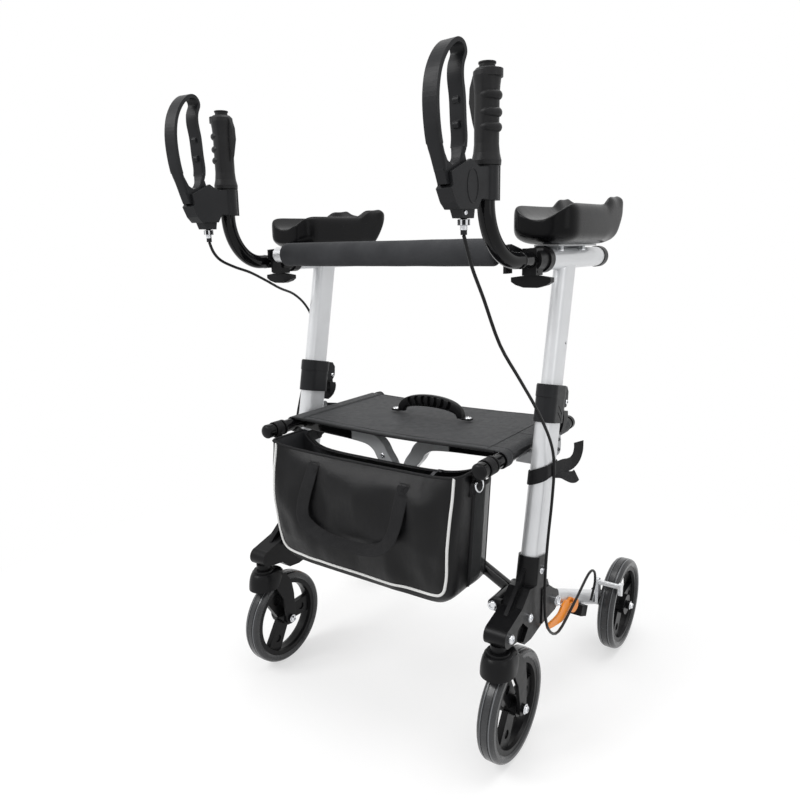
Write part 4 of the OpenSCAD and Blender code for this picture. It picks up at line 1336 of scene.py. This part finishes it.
@dataclass
class Seat:
    """Sling seat in two halves with hems, seams and a lifting handle."""

    front: float = -149.0
    back: float = 130.0
    top: float = 552.2
    seam: float = 217.0
    sleeve_r: float = 14.6
    notch: Pair = (-127.0, -26.0)
    shift: float = 13.0
    sag: float = 5.0
    wrapped: float = -150.0
    notched: float = 32.0
    hem: float = 1.2
    roll_r: float = 2.4
    stitch: float = 4.6
    handle_y: float = 11.0
    handle_half: float = 77.0
    handle_rise: float = 38.0
    handle_deep: float = 7.8
    window_half: float = 64.0
    window_rise: float = 16.0
    slot_span: float = 57.0
    slot_pitch: float = 16.0
    slot_half: float = 3.7
    slot_deep: float = 6.0

    def drop(self, x: float) -> float:
        """Return how far the sling hangs below its top at a distance from the middle."""
        return self.sag * max(0.0, math.cos(math.pi / 2 * x / RAIL_X)) ** 1.5

    def panel(self) -> list[Pair]:
        """Return the flat part of the section, from the hem's seam to the middle."""
        rows = [self.seam - (self.seam - 0.1) * k / 30 for k in range(31)]
        return [(x, self.top - 1.6 - self.drop(x)) for x in rows]

    def sleeve(self, start: float) -> list[Pair]:
        """Return the part of the section that goes round the rail.

        Args:
            start: Angle in degrees at which the cloth starts, counted from the outer side.

        Returns:
            Rows of x and z in millimetres.
        """
        angles = [math.radians(start + (90 - start) * k / 20) for k in range(21)]
        r = self.sleeve_r
        rows = [(RAIL_X + r * math.cos(a), RAIL_Z + r * math.sin(a)) for a in angles]
        return rows + [(226.0, self.top - 1.5), (216.0, self.top - 1.3), (209.0, self.top - 1.2)]

    def cloth(self, form: Form, side: Side, rows: list[Pair], depth: list[float]) -> None:
        """Lay cloth over a section.

        Args:
            form: Faces to add to.
            side: Half of the walker.
            rows: Section of the cloth's middle surface.
            depth: Places along the rail, in millimetres.
        """
        rings: list[Ring] = []
        for y in depth:
            thin = 0.55 if y in (depth[0], depth[-1]) else 1.15
            upper: Ring = []
            lower: Ring = []
            for i, (x, z) in enumerate(rows):
                before, after = rows[max(i - 1, 0)], rows[min(i + 1, len(rows) - 1)]
                run = math.hypot(after[0] - before[0], after[1] - before[1])
                nx, nz = (after[1] - before[1]) / run, -(after[0] - before[0]) / run
                wave = 0.5 * noise.noise(Vector((x * 0.02, y * 0.02, 3.0))) if x < 205 else 0.0
                upper.append(side.point(x + nx * thin, y, z + nz * thin + wave))
                lower.append(side.point(x - nx * thin, y, z - nz * thin + wave))
            rings.append(upper + lower[::-1])
        form.skin(rings)

    def rows_between(self, start: float, end: float, inset: float, count: int) -> list[float]:
        """Return places along the rail, with close rows at the hems and even steps inside an inset."""
        even = [start + inset + (end - start - 2 * inset) * k / count for k in range(count + 1)]
        return [start, start + self.hem] + even + [end - self.hem, end]

    def half(self, side: Side) -> None:
        """Make one half of the sling.

        Args:
            side: Half of the walker.
        """
        word = side.word
        form = Form()
        self.cloth(form, side, self.panel(), self.rows_between(self.front, self.back, 8, 24))
        first, last = self.notch
        if side is Side.LEFT:
            first -= self.shift
        whole, cut = self.wrapped, self.notched
        ends = [(self.front, first, whole), (first, last, cut), (last, self.back, whole)]
        for y0, y1, start in ends:
            self.cloth(form, side, self.sleeve(start), self.rows_between(y0, y1, 4, 8))
        cloth = form.piece(f"seat_sling_{word}", [SEAT_CLOTH], 50.0)
        hem = Form()
        for y in (self.front + 3.5, self.front + 18, self.back - 6):
            line = [side.point(x, y, self.top - 0.35 - self.drop(x)) for x in range(2, 224, 6)]
            hem.stitches(line, self.stitch)
        across = (self.front + 4, self.back - 4)
        hem.stitches([side.point(self.seam - 4, y, self.top + 0.1) for y in across], self.stitch)
        binding = Form()
        edge = [side.point(x, self.front - 0.4, self.top - 2.2 - self.drop(x)) for x in range(0, 234, 6)]
        binding.tube(edge, self.roll_r, 8)
        thread = hem.piece(f"seat_stitches_{word}", [THREAD])
        edge_roll = binding.piece(f"seat_edge_roll_{word}", [WEBBING])
        seat_on(cloth, f"seat_{word}", "seat_cloth", f"seat_{word}")
        seat_on(thread, f"seat_{word}", "seat_cloth")
        seat_on(edge_roll, f"seat_{word}", "webbing")
        for piece in (cloth, thread, edge_roll):
            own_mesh(piece)

    def grip_ring(self, x: float) -> Ring:
        """Return one section of the lifting handle's grip, with its finger slots.

        Args:
            x: Millimetres from the middle.

        Returns:
            The section in metres.
        """
        side = min(1.0, abs(x) / self.handle_half)
        top = self.top + 3.3 + self.handle_rise * max(0.0, 1 - side * side) ** 0.35
        under = self.top + 0.6 + self.window_rise * max(0.0, 1 - (x / self.window_half) ** 2) ** 0.35
        tall, middle = max(1.7, (top - under) / 2), (top + under) / 2
        ring: Ring = []
        for y, lift in soft_box(40, self.handle_deep, tall, 0.45, 0.55):
            z = middle + lift
            if y < 0 and abs(x) < self.slot_span and abs(z - middle) < tall * 0.78:
                lane = round(x / self.slot_pitch)
                bend = 0.03 * (z - middle) ** 2 * (1 if lane >= 0 else -1)
                lean = 0.12 * lane * (z - under - tall)
                off = abs(x - self.slot_pitch * lane + (bend if lane else 0.0) - lean)
                y += self.slot_deep * ease((self.slot_half - off) / 1.2)
            ring.append(Vector((x, self.handle_y + y, z)) * MM)
        return ring

    def handle(self) -> None:
        """Make the slotted lifting handle with its riveted feet."""
        form = Form()
        form.skin([self.grip_ring(1.1 * k - self.handle_half) for k in range(141)])
        z0 = self.top + 0.4
        eyelet = [(7.2, 2.8), (7.2, 3.9), (6.2, 4.8), (4.2, 4.9), (3.4, 4.0), (3.2, 3.0), (0.1, 2.9)]
        foot_x, eyelet_x = 84, 87
        for s in (-1, 1):
            foot = soft_box(32, 12.5, 8.6, 0.55, 0.7)
            outline = [Vector((s * (foot_x + x), self.handle_y + y, z0)) * MM for x, y in foot]
            form.slab(outline, UP * 3.4 * MM)
            form.turned(eyelet, Vector((s * eyelet_x, self.handle_y, z0)) * MM, UP, 1)
        handle = form.piece("seat_lift_handle", [SATIN_BLACK, CHROME], 50.0)
        seat_on(handle, "seat_handle", "black_plastic", "seat_handle")
        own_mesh(handle)

    def build(self) -> None:
        """Make both halves and the handle."""
        for side in Side:
            self.half(side)
        self.handle()


@dataclass
class Bag:
    """Shopping bag hung from the rails, with piping, webbing handle, zip and pocket."""

    half: float = 213.0
    top: float = 526.0
    bottom: float = 292.0
    front: float = -246.0
    back: float = -126.0
    middle: float = -187.0
    taper: float = 13.0
    foot_round: float = 22.0
    cloth: float = 2.2
    square: float = 0.22
    front_sag: float = 17.0
    front_lean: float = 30.0
    rear_sag: float = 25.0
    rear_lean: float = -40.0
    hang: float = 2.6
    drape: float = 3.4
    soft: float = 6.0
    small: float = 3.2
    front_fold: float = 7.5
    rear_fold: float = 3.0
    zip_half: float = 200.0
    ring_y: float = -196.0
    ring_r: float = 13.0
    loop_y: float = -194.0
    loop_r: float = 14.4
    tail_drop: float = 14.6
    hanger: float = 20.0
    web: float = 2.0
    carry: Pair = (25.0, 1.9)
    piping_r: float = 2.5
    rim_r: float = 2.6
    stitch: float = 3.6
    handle_ends: tuple[Pair, ...] = ((-107, 494), (100, 490))
    pocket_low: float = 312.0
    pocket_tall: float = 186.0
    pocket_front: float = -190.0
    pocket_deep: float = 58.0

    def shell(self, v: float, angle: float, inset: float) -> Vector:
        """Return a point of the bag's shell.

        Args:
            v: Share of the height.
            angle: Angle round the bag in radians.
            inset: Millimetres inside the outer cloth.

        Returns:
            The point in millimetres.
        """
        hw = self.half - self.taper * (1 - v) - self.foot_round * max(0.0, 1 - v / 0.12) ** 2 - inset
        front = self.front - 5 * math.sin(math.pi * v) + 9 * (1 - v) ** 8 + inset
        back = self.back - 3 * (1 - v) - inset
        c, s = signed_power(math.cos(angle), self.square), signed_power(math.sin(angle), self.square)
        if s < 0:
            sag = self.front_sag * v**3 * (1 - c**4) * -s
            lean = self.front_lean * v**5 * (1 - c**4) * -s
        else:
            sag = self.rear_sag * v**3 * (1 - c**8) * s
            lean = self.rear_lean * v**4 * (1 - c**4) * s
        z = self.bottom + (self.top - self.bottom) * v - sag + (3 * (1 - v) if inset else 0)
        p = Vector((hw * c, (front + back) / 2 + (back - front) / 2 * s + lean, z))
        return p + self.fold(p, v, s)

    def fold(self, p: Vector, v: float, s: float) -> Vector:
        """Return how the cloth's folds move a point.

        Args:
            p: Point in millimetres.
            v: Share of the height.
            s: How far the point faces the rear, from -1 to 1.

        Returns:
            The move in millimetres.
        """
        x = p.x / self.half
        hang = math.sin(6.5 * (abs(x) * 1.3 - v) + 1.6 * x) * math.exp(-3.0 * (v - 0.55) ** 2)
        drape = 1 - abs(noise.noise(Vector((x * 2.1 + 0.7 * v, v * 1.7 - 0.5 * x, s * 0.8 + 4.0)))) * 3.2
        soft = noise.noise(Vector((x * 2.6, v * 2.1, s * 0.8)))
        small = noise.noise(Vector((x * 7.0, v * 4.0, s * 2.0)))
        depth = self.hang * hang + self.drape * drape + self.soft * soft + self.small * small
        fade = min(1.0, (1 - v) * 5.0 + 0.15) * min(1.0, v * 5.0 + 0.2)
        if s < 0:
            return Vector((0.0, -min(depth, self.front_fold) * fade * abs(s), 0.0))
        return Vector((0.0, 0.5 * min(depth, self.rear_fold) * fade * abs(s), 0.0))

    def ring(self, v: float, inset: float, dense: int = 720, count: int = 160) -> Ring:
        """Return a level of the shell, with points spread evenly round it.

        Args:
            v: Share of the height.
            inset: Millimetres inside the outer cloth.
            dense: Points that the level is measured by.
            count: Points of the level.

        Returns:
            The level in metres.
        """
        fine = [self.shell(v, -a, inset) for a in turns(dense)]
        walk = [0.0]
        for a, b in zip(fine, fine[1:] + fine[:1]):
            walk.append(walk[-1] + (b - a).length)
        ring: Ring = []
        j = 0
        for k in range(count):
            goal = walk[-1] * k / count
            while walk[j + 1] < goal:
                j += 1
            share = (goal - walk[j]) / max(walk[j + 1] - walk[j], 1e-9)
            ring.append(fine[j].lerp(fine[(j + 1) % dense], share) * MM)
        return ring

    def on_front(self, tree: BVHTree, x: float, z: float, proud: float) -> Vector:
        """Find the front cloth at a place across and up, and stand out from it by some millimetres."""
        hit = tree.ray_cast(Vector((x, -400.0, z)) * MM, -FORWARD)[0]
        return (hit or Vector((x, self.front, z)) * MM) + FORWARD * proud * MM

    def floor(self, edge: Ring, z: float, shares: Sequence[float]) -> list[Ring]:
        """Return levels of the floor, drawn in by shares from an edge towards its middle at a height."""
        middle = Vector((0.0, self.middle, z)) * MM
        return [[middle + (p - middle) * share for p in edge] for share in shares]

    def build(self) -> None:
        """Make the shell and everything sewn to it."""
        form = Form()
        levels = [0.0, 0.012, 0.03, 0.055, 0.085, 0.12] + [0.12 + 0.032 * k for k in range(1, 26)]
        levels += [0.945, 0.97, 0.99, 1.0]
        outer = [self.ring(v, 0.0) for v in levels]
        inner = [self.ring(v, self.cloth) for v in reversed(levels[1:])]
        floor = self.floor(outer[0], self.bottom, (0.02, 0.3, 0.6, 0.85))
        inner_floor = self.floor(inner[-1], self.bottom + 3, (0.85, 0.5, 0.02))
        form.skin(floor + outer, 0, caps=(True, False))
        # Inner walls and floor wear the grey painted sheen.
        form.skin([outer[-1]] + inner + inner_floor, 1, caps=(False, True))
        shell = form.piece("bag_shell", [BAG_CLOTH, BAG_INSIDE_SHEEN], 60.0)
        tree = BVHTree.FromPolygons([tuple(p) for p in form.points], form.faces)
        seat_on(shell, "bag", "bag_cloth", "bag")
        trim = [self.piping(tree), self.rim(outer[-1]), self.carry_handle(tree), self.hangers()]
        trim += [self.zip_line(), self.pocket(), self.ring_tabs()]
        for piece in [shell] + trim:
            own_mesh(piece)
        self.loops()

    def piping(self, tree: BVHTree) -> Piece:
        """Make the white piping round the front panel.

        Args:
            tree: Faces of the shell.

        Returns:
            The piping.
        """
        w, low = self.half - 17, self.bottom + 16
        right = [(0, low - 3), (90, low - 2), (w - 38, low), (w - 14, low + 9), (w - 6, low + 34)]
        right += [(w - 2, 400), (w + 2, 470), (w + 4, self.top - 4)]
        left = [(-x, z) for x, z in reversed(right[1:])]
        flat = smooth_path([(x, 0, z) for x, z in left + right], 8)
        form = Form()
        form.tube([self.on_front(tree, p.x, p.z, 0.6) for p in flat], self.piping_r, 10)
        return form.place("bag_piping", [PIPING], "bag", "bag_cloth")

    def rim(self, edge: Ring) -> Piece:
        """Make the bound rim of the mouth.

        Args:
            edge: Top level of the shell.

        Returns:
            The rim.
        """
        form = Form()
        form.tube([p - UP * 0.5 * MM for p in edge], self.rim_r, 10, loop=True)
        return form.place("bag_rim", [WEBBING], "bag", "bag_cloth")

    def carry_handle(self, tree: BVHTree) -> Piece:
        """Make the drooping webbing handle on the front.

        Args:
            tree: Faces of the shell.

        Returns:
            The handle.
        """
        marks = [(-107, 494, 2), (-110, 468, 5), (-113, 440, 9), (-112, 414, 13), (-104, 394, 16)]
        marks += [(-82, 378, 17), (-46, 369, 17), (-4, 367, 17), (36, 370, 16), (70, 380, 16)]
        marks += [(90, 398, 14), (98, 424, 10), (101, 452, 6), (100, 490, 2)]
        line = smooth_path([tuple(self.on_front(tree, *mark)) for mark in marks], 6)
        outs: list[Vector] = []
        for i in range(len(line)):
            t = i / (len(line) - 1)
            tip = math.radians(62) * math.sin(math.pi * min(max((t - 0.2) / 0.6, 0.0), 1.0))
            outs.append(Vector((0.25 * math.sin(7 * t), -math.cos(tip), math.sin(tip))).normalized())
        form = Form()
        form.band(line, outs, *self.carry)
        cross = ((-9, -14), (9, -14), (9, 4), (-9, 4), (-9, -14), (9, 4), (-9, 4), (9, -14))
        for x, z in self.handle_ends:
            form.stitches([self.on_front(tree, x + a, z + b, 3.4) for a, b in cross], self.stitch, 1)
        return form.place("bag_carry_handle", [WEBBING, THREAD], "bag", "webbing")

    def hangers(self) -> Piece:
        """Make the tails that hang the bag under the loops on the rails.

        Returns:
            The tails.
        """
        form = Form()
        y = self.loop_y
        square = ((-7, 484), (7, 484), (7, 506), (-7, 506), (-7, 484))
        side = self.half - 1
        marks = [(side, 482), (side, 500), (side + 5, 512), (side + 14, 519)]
        marks += [(RAIL_X, RAIL_Z - self.tail_drop)]
        for s in (-1, 1):
            tail = smooth_path([(s * x, y, z) for x, z in marks], 5)
            tips = [math.pi / 2 * ease(k / (len(tail) - 1)) for k in range(len(tail))]
            outs = [Vector((s * math.cos(a), 0, -math.sin(a))) for a in tips]
            form.band([p * MM for p in tail], outs, self.hanger, self.web)
            seam = [Vector((s * (self.half + 1.2), y + b, z)) * MM for b, z in square]
            form.stitches(seam, self.stitch, 1)
        return form.place("bag_hangers", [WEBBING, THREAD], "bag", "webbing")

    def loops(self) -> None:
        """Make the loops round the rails, each on the brace arm that carries its rail."""
        angles = [math.tau * k / 32 for k in range(34)]
        spots = [(RAIL_X + self.loop_r * math.sin(a), RAIL_Z - self.loop_r * math.cos(a)) for a in angles]
        for side in reversed(Side):
            form = Form()
            outs = [side.way(math.sin(a), 0, -math.cos(a)) for a in angles]
            form.band([side.point(x, self.loop_y, z) for x, z in spots], outs, self.hanger, self.web)
            form.place(f"bag_loop_{side.word}", [WEBBING], side.rail_arm, "webbing")

    def zip_line(self) -> Piece:
        """Make the zip along the rear of the mouth, with its slider and pull.

        Returns:
            The zip.
        """
        form = Form()
        rear = [self.shell(1.0, math.pi * k / 1200, 0.0) for k in range(1, 1200)]
        tape: list[Vector] = []
        for k in range(49):
            x = -self.zip_half + 2 * self.zip_half * k / 48
            near = min(rear, key=lambda p: abs(p.x - x))
            tape.append((near + Vector((0, -5.0, 0.4))) * MM)
        form.band(tape, [Vector((0, 0.25, 1))] * len(tape), 14.0, 1.2)
        tooth = ((-0.8, -2, 0), (0.8, -2, 0), (0.8, 2, 0), (-0.8, 2, 0))
        for a, b in zip(tape, tape[1:]):
            for t in (0.0, 0.33, 0.66):
                p = a.lerp(b, t) + Vector((0, -4.0, 0.9)) * MM
                form.slab([p + Vector(q) * MM for q in tooth], UP * 1.1 * MM, 1, 0.2)
        p = tape[40] + Vector((0, -5.0, 0.6)) * MM
        slider = ((-6, -4, 0), (5, -5, 0), (7, 0, 0), (5, 5, 0), (-6, 4, 0))
        form.slab([p + Vector(q) * MM for q in slider], UP * 4.0 * MM, 2, 0.8)
        hang = ((-3, -4, 3), (-5, -12, 2), (-6, -22, -4), (-6, -30, -14))
        pull = smooth_path([tuple(p + Vector(q) * MM) for q in hang], 5)
        form.band(pull, [Vector((0, -0.5, 1))] * len(pull), 7.0, 1.8, 2)
        return form.place("bag_zip", [WEBBING, SATIN_BLACK, DARK_METAL], "bag", "webbing")

    def pocket(self) -> Piece:
        """Make the net pocket on the rear half of the bag's right end.

        Returns:
            The pocket.
        """
        form = Form()
        rows: list[Ring] = []
        for i in range(17):
            v = i / 16
            z = self.pocket_low + self.pocket_tall * v
            up = z - self.bottom
            slope = self.taper * (1 - up / (self.top - self.bottom))
            wall = self.half - slope - self.foot_round * max(0.0, 1 - up / 28) ** 2
            row: Ring = []
            for k in range(13):
                t = k / 12
                puff = 1.6 + 7.0 * math.sin(math.pi * t) * (0.3 + 0.7 * v)
                row.append(Vector((wall + puff, self.pocket_front + self.pocket_deep * t, z)) * MM)
            rows.append(row)
        form.skin(rows, closed=False)
        form.band(rows[-1], [Side.RIGHT.out] * len(rows[-1]), 9.0, 1.6, 1)
        for end, lean in ((0, -0.6), (-1, 0.6)):
            form.band([row[end] for row in rows], [Vector((1, lean, 0))] * len(rows), 6.0, 1.4, 1)
        return form.place("bag_net_pocket", [NET, WEBBING], "bag", "bag_cloth")

    def ring_tabs(self) -> Piece:
        """Make the chrome rings on their webbing tabs under the hangers.

        Returns:
            The rings and tabs.
        """
        form = Form()
        x, y = self.half + 8.0, self.ring_y
        marks = [(x - 8, 506), (x - 4, 508), (x + 3, 510), (x + 6, 512), (x + 3, 514), (x - 6, 514)]
        for s in (-1, 1):
            tab = smooth_path([(s * a, y, z) for a, z in marks], 5)
            form.band([p * MM for p in tab], [Vector((s * 0.2, 0, 1))] * len(tab), 16.0, 1.5)
            ring: Ring = []
            for a in turns(40):
                drop = (self.ring_r if math.cos(a) < 0 else 5) * math.cos(a)
                spot = (s * (x + 4 - 0.15 * drop), y + self.ring_r * math.sin(a), 506 + drop)
                ring.append(Vector(spot) * MM)
            form.tube(ring, 1.6, 10, 1, loop=True)
        return form.place("bag_ring_tabs", [WEBBING, CHROME], "bag", "webbing")


@dataclass
class BraceTrim:
    """Rivet on the bend of the front brace arm."""

    at: Triple = (-29.0, -118.6, 494.0)
    head: Pair = (5.0, 2.6)

    def build(self) -> None:
        """Make the rivet that rides the front arm."""
        form = Form()
        form.bolt(Vector(self.at) * MM, FORWARD, *self.head)
        form.place("brace_rivet", [CHROME], "brace_b", "bright_metal")


@dataclass
class RailTrim:
    """End cap and stop ring on one seat rail, as profiles of radius and distance along the rail."""

    side: Side
    end: float = -221.0
    stop: float = -181.0
    cap: tuple[Pair, ...] = (
        (12.6, -14), (13.6, -13), (13.6, -3), (13.0, -2.6), (13.0, -1.6), (13.6, -1.2),
        (13.4, 1.5), (11.8, 3.6), (8.0, 5.0), (3.0, 5.6), (0.1, 5.7),
    )
    collar: tuple[Pair, ...] = ((12.6, 0), (15.0, 0.4), (15.4, 1.2), (15.4, 4.4), (15.0, 5.2), (12.6, 5.6))

    def build(self) -> None:
        """Make the domed cap with its groove, and the stop ring behind the bag's loop."""
        form = Form()
        form.turned(self.cap, self.side.point(RAIL_X, self.end, RAIL_Z), FORWARD, 0, 40)
        form.turned(self.collar, self.side.point(RAIL_X, self.stop, RAIL_Z), -FORWARD, 0, 40)
        form.place(f"rail_cap_{self.side.word}", [SATIN_BLACK], self.side.rail_arm, "black_plastic")


@dataclass
class WheelTrim:
    """Axle bolts of one side's wheels."""

    side: Side
    front_axle: Pair = (-169.0, 100.0)
    outer_washer: tuple[Pair, ...] = ((9.0, -0.4), (9.0, 0.8), (8.4, 1.3), (5.0, 1.4))
    inner_washer: tuple[Pair, ...] = ((8.4, -0.4), (8.4, 0.8), (5.0, 1.2))
    rear_washer: tuple[Pair, ...] = ((8.6, -1.5), (8.6, 0.6), (8.0, 1.1), (4.8, 1.2))
    outer_head: Pair = (6.6, 4.2)
    inner_head: Pair = (6.4, 4.6)
    rear_head: Pair = (6.4, 5.0)

    def reach(self, box: Sequence[Sequence[float]]) -> list[float]:
        """Return a box's least and greatest distance from the middle plane in millimetres."""
        return sorted(abs(corner[0]) / MM for corner in box)

    def head(self, form: Form, at: Triple, sign: int, washer: Sequence[Pair], size: Pair) -> None:
        """Add a bolt's head on its washer.

        Args:
            form: Faces to add to.
            at: End of the axle.
            sign: 1 for an end that faces outward, -1 for one that faces inward.
            washer: Profile of the washer.
            size: Radius and height of the head.
        """
        x, y, z = at
        way = self.side.out * sign
        form.turned(washer, self.side.point(x, y, z), way)
        form.bolt(self.side.point(x + sign, y, z), way, *size)

    def build(self) -> None:
        """Make the front axle's bolt and nut, and the rear axle's bolt."""
        word = self.side.word
        near, tip = self.reach(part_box(f"caster_fork_{word}"))
        front = Form()
        self.head(front, (tip, *self.front_axle), 1, self.outer_washer, self.outer_head)
        self.head(front, (near, *self.front_axle), -1, self.inner_washer, self.inner_head)
        front.place(f"front_axle_bolt_{word}", [CHROME], f"caster_{word}", "bright_metal")
        low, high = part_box(f"rear_tyre_{word}")
        y, z = (low[1] + high[1]) / 2 / MM, (low[2] + high[2]) / 2 / MM
        tip = self.reach(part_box(f"leg_fittings_{word}"))[1]
        rear = Form()
        self.head(rear, (tip, y, z), 1, self.rear_washer, self.rear_head)
        rear.place(f"rear_axle_bolt_{word}", [CHROME], f"leg_{word}", "bright_metal")


@dataclass
class ForkHood:
    """Smooth hood over the crown of one caster fork."""

    side: Side
    stem: float = -219.0
    crown: float = 231.0
    top_drop: float = 5.0
    neck: float = 20.5
    bulge: float = 9.5
    rear_bulge: float = 30.0
    front_bulge: float = 13.0
    skirt: float = 41.0
    rear_lift: float = 19.0

    def spot(self, angle: float, t: float, inset: float) -> Vector:
        """Return a point of the hood.

        Args:
            angle: Angle round the stem, from the rear.
            t: Share of the way from the top to the skirt.
            inset: Millimetres inside the outer skin.

        Returns:
            The point in metres.
        """
        swell = math.sqrt(max(0.0, 1 - (1 - t) ** 2))
        c, s = math.cos(angle), math.sin(angle)
        reach = self.rear_bulge if c > 0 else self.front_bulge
        x = (self.neck + self.bulge * swell - inset) * s
        y = (self.neck + reach * swell - inset) * c
        skirt = self.crown - self.skirt + self.rear_lift * ease((max(0.0, c) - 0.15) / 0.5)
        top = self.crown - self.top_drop
        return self.side.point(TRACK + x, self.stem + y, top - (top - skirt) * t)

    def build(self) -> None:
        """Make the domed skin, its rim and its inner side."""
        rows = [(t, 0.0) for t in (0.0, 0.02, 0.06, 0.12, 0.2, 0.3, 0.42, 0.56, 0.7, 0.85, 0.97, 1.0)]
        rows += [(1.0, 2.4), (0.6, 2.6)]
        form = Form()
        form.skin([[self.spot(a, t, inset) for a in turns(72)] for t, inset in rows], caps=(True, False))
        word = self.side.word
        form.place(f"fork_hood_{word}", [SATIN_BLACK], f"caster_{word}", "black_plastic", sharp=50.0)


@dataclass
class BracketTrim:
    """Wire spring between the leg's pivot and its latch, bolt heads, and the latch's broad thumb piece."""

    side: Side
    pivot: Triple = (303.0, -37.0, 246.0)
    spring_r: float = 8.4
    wire: float = 2.0
    heads: tuple[tuple[Triple, Triple, Pair], ...] = (
        ((296, -98, 329), (1, 0, 0), (5.6, 3.4)),
        ((244, -181.3, 285), (0, -1, 0), (8.1, 3.0)),
        ((299.9, -146, 262), (1, 0, 0), (7.1, 3.0)),
        ((299.9, -219, 258), (1, 0, 0), (7.6, 3.0)),
    )
    lobe_x: float = 299.2
    lobe_thick: float = 4.6
    lobe: tuple[Pair, ...] = (
        (78, 193), (75, 182), (60, 178), (44, 184), (34, 192), (18, 190), (-2, 188), (-30, 194), (-56, 200),
        (-76, 207), (-70, 214), (-44, 212), (-22, 213), (-8, 221), (8, 225), (20, 221), (30, 210), (44, 205),
        (60, 205), (72, 202), (78, 193),
    )

    def spring(self) -> None:
        """Make the spring's turns round the pivot with its arm to the latch."""
        word = self.side.word
        x, y, z = (sum(ends) / 2 / MM for ends in zip(*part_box(f"latch_{word}")))
        wire: list[Vector] = []
        for k in range(49):
            a = math.tau * k / 16 - 1.2
            off = (0.09 * k, self.spring_r * math.cos(a), self.spring_r * math.sin(a))
            wire.append(self.side.point(*(p + q for p, q in zip(self.pivot, off))))
        wire.append(wire[-1].lerp(self.side.point(abs(x), y, z), 0.6))
        wire.append(self.side.point(abs(x) + 2, y, z))
        form = Form()
        form.tube(wire, self.wire / 2, 8)
        form.place(f"latch_spring_{word}", [CHROME], f"leg_{word}", "bright_metal")

    def build(self) -> None:
        """Make the spring, the bolt heads and the thumb piece."""
        self.spring()
        word = self.side.word
        bolts = Form()
        for at, way, size in self.heads:
            bolts.bolt(self.side.point(*at), self.side.way(*way), *size)
        bolts.place(f"socket_bolt_{word}", [CHROME], f"{word}_frame", "bright_metal")
        outline = smooth_path([(self.lobe_x, y, z) for y, z in self.lobe], 4)[:-1]
        lobe = Form()
        lobe.slab([self.side.point(*q) for q in outline], self.side.out * self.lobe_thick * MM, 0, 1.0)
        lobe.place(f"latch_lobe_{word}", [ORANGE], f"latch_{word}", "orange_plastic")


@dataclass
class CadDress:
    """Finishes of the CAD nodes, by the nodes' names without their side."""

    wears: tuple[tuple[Finish, str], ...] = (
        (SILVER, "post arm rear_leg brake_bar"),
        (SATIN_BLACK, "bracket collar_lever arm_fittings clamp_knob caster_fork leg_fittings seat_handle"),
        (CHARCOAL, "collar brake_housing brake_lever"),
        (CHROME, "bolts cross_bolt"),
        (GLOSS_BLACK, "handle rail"),
        (BRACE, "brace_a brace_b"),
        (HUB, "front_hub rear_hub"),
        (TYRE_FRONT, "front_tyre"),
        (TYRE_REAR, "rear_tyre"),
        (GRIP, "grip"),
        (PAD_SKIN, "pad"),
        (GREY_STEEL, "pad_plate"),
        (ORANGE, "latch"),
        (SLEEVE, "cable"),
        (WEBBING, "strap"),
        (SEAT_CLOTH, "seat"),
        (BAG_CLOTH, "bag"),
        (FOAM, "foam_bar"),
    )

    def build(self) -> None:
        """Give each node its finish."""
        table = {kind: finish for finish, kinds in self.wears for kind in kinds.split()}
        for node, piece in sorted(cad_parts.items()):
            finish = table[node.removesuffix("_left").removesuffix("_right")]
            if piece.material_slots:
                for slot in piece.material_slots:
                    slot.material = finish.make()
            else:
                piece.data.materials.append(finish.make())
            LOG.info("%s wears %s", node, finish.name)


def main() -> None:
    """Build the picture and every piece in order."""
    logging.basicConfig(level=logging.INFO, format="%(message)s")
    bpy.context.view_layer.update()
    bpy.context.scene.view_settings.view_transform = "Standard"
    Studio().build()
    for side in Side:
        BrakeCable(side).build()
    CadDress().build()
    FoamBar().build()
    Seat().build()
    Bag().build()
    BraceTrim().build()
    for side in Side:
        for kind in (HandleTrim, LeverTrim, ForearmPad, PostStrap, PostTrim):
            kind(side).build()
        for kind in (RailTrim, WheelTrim, ForkHood, BracketTrim):
            kind(side).build()
    bpy.context.view_layer.update()


if __name__ == "__main__":
    main()
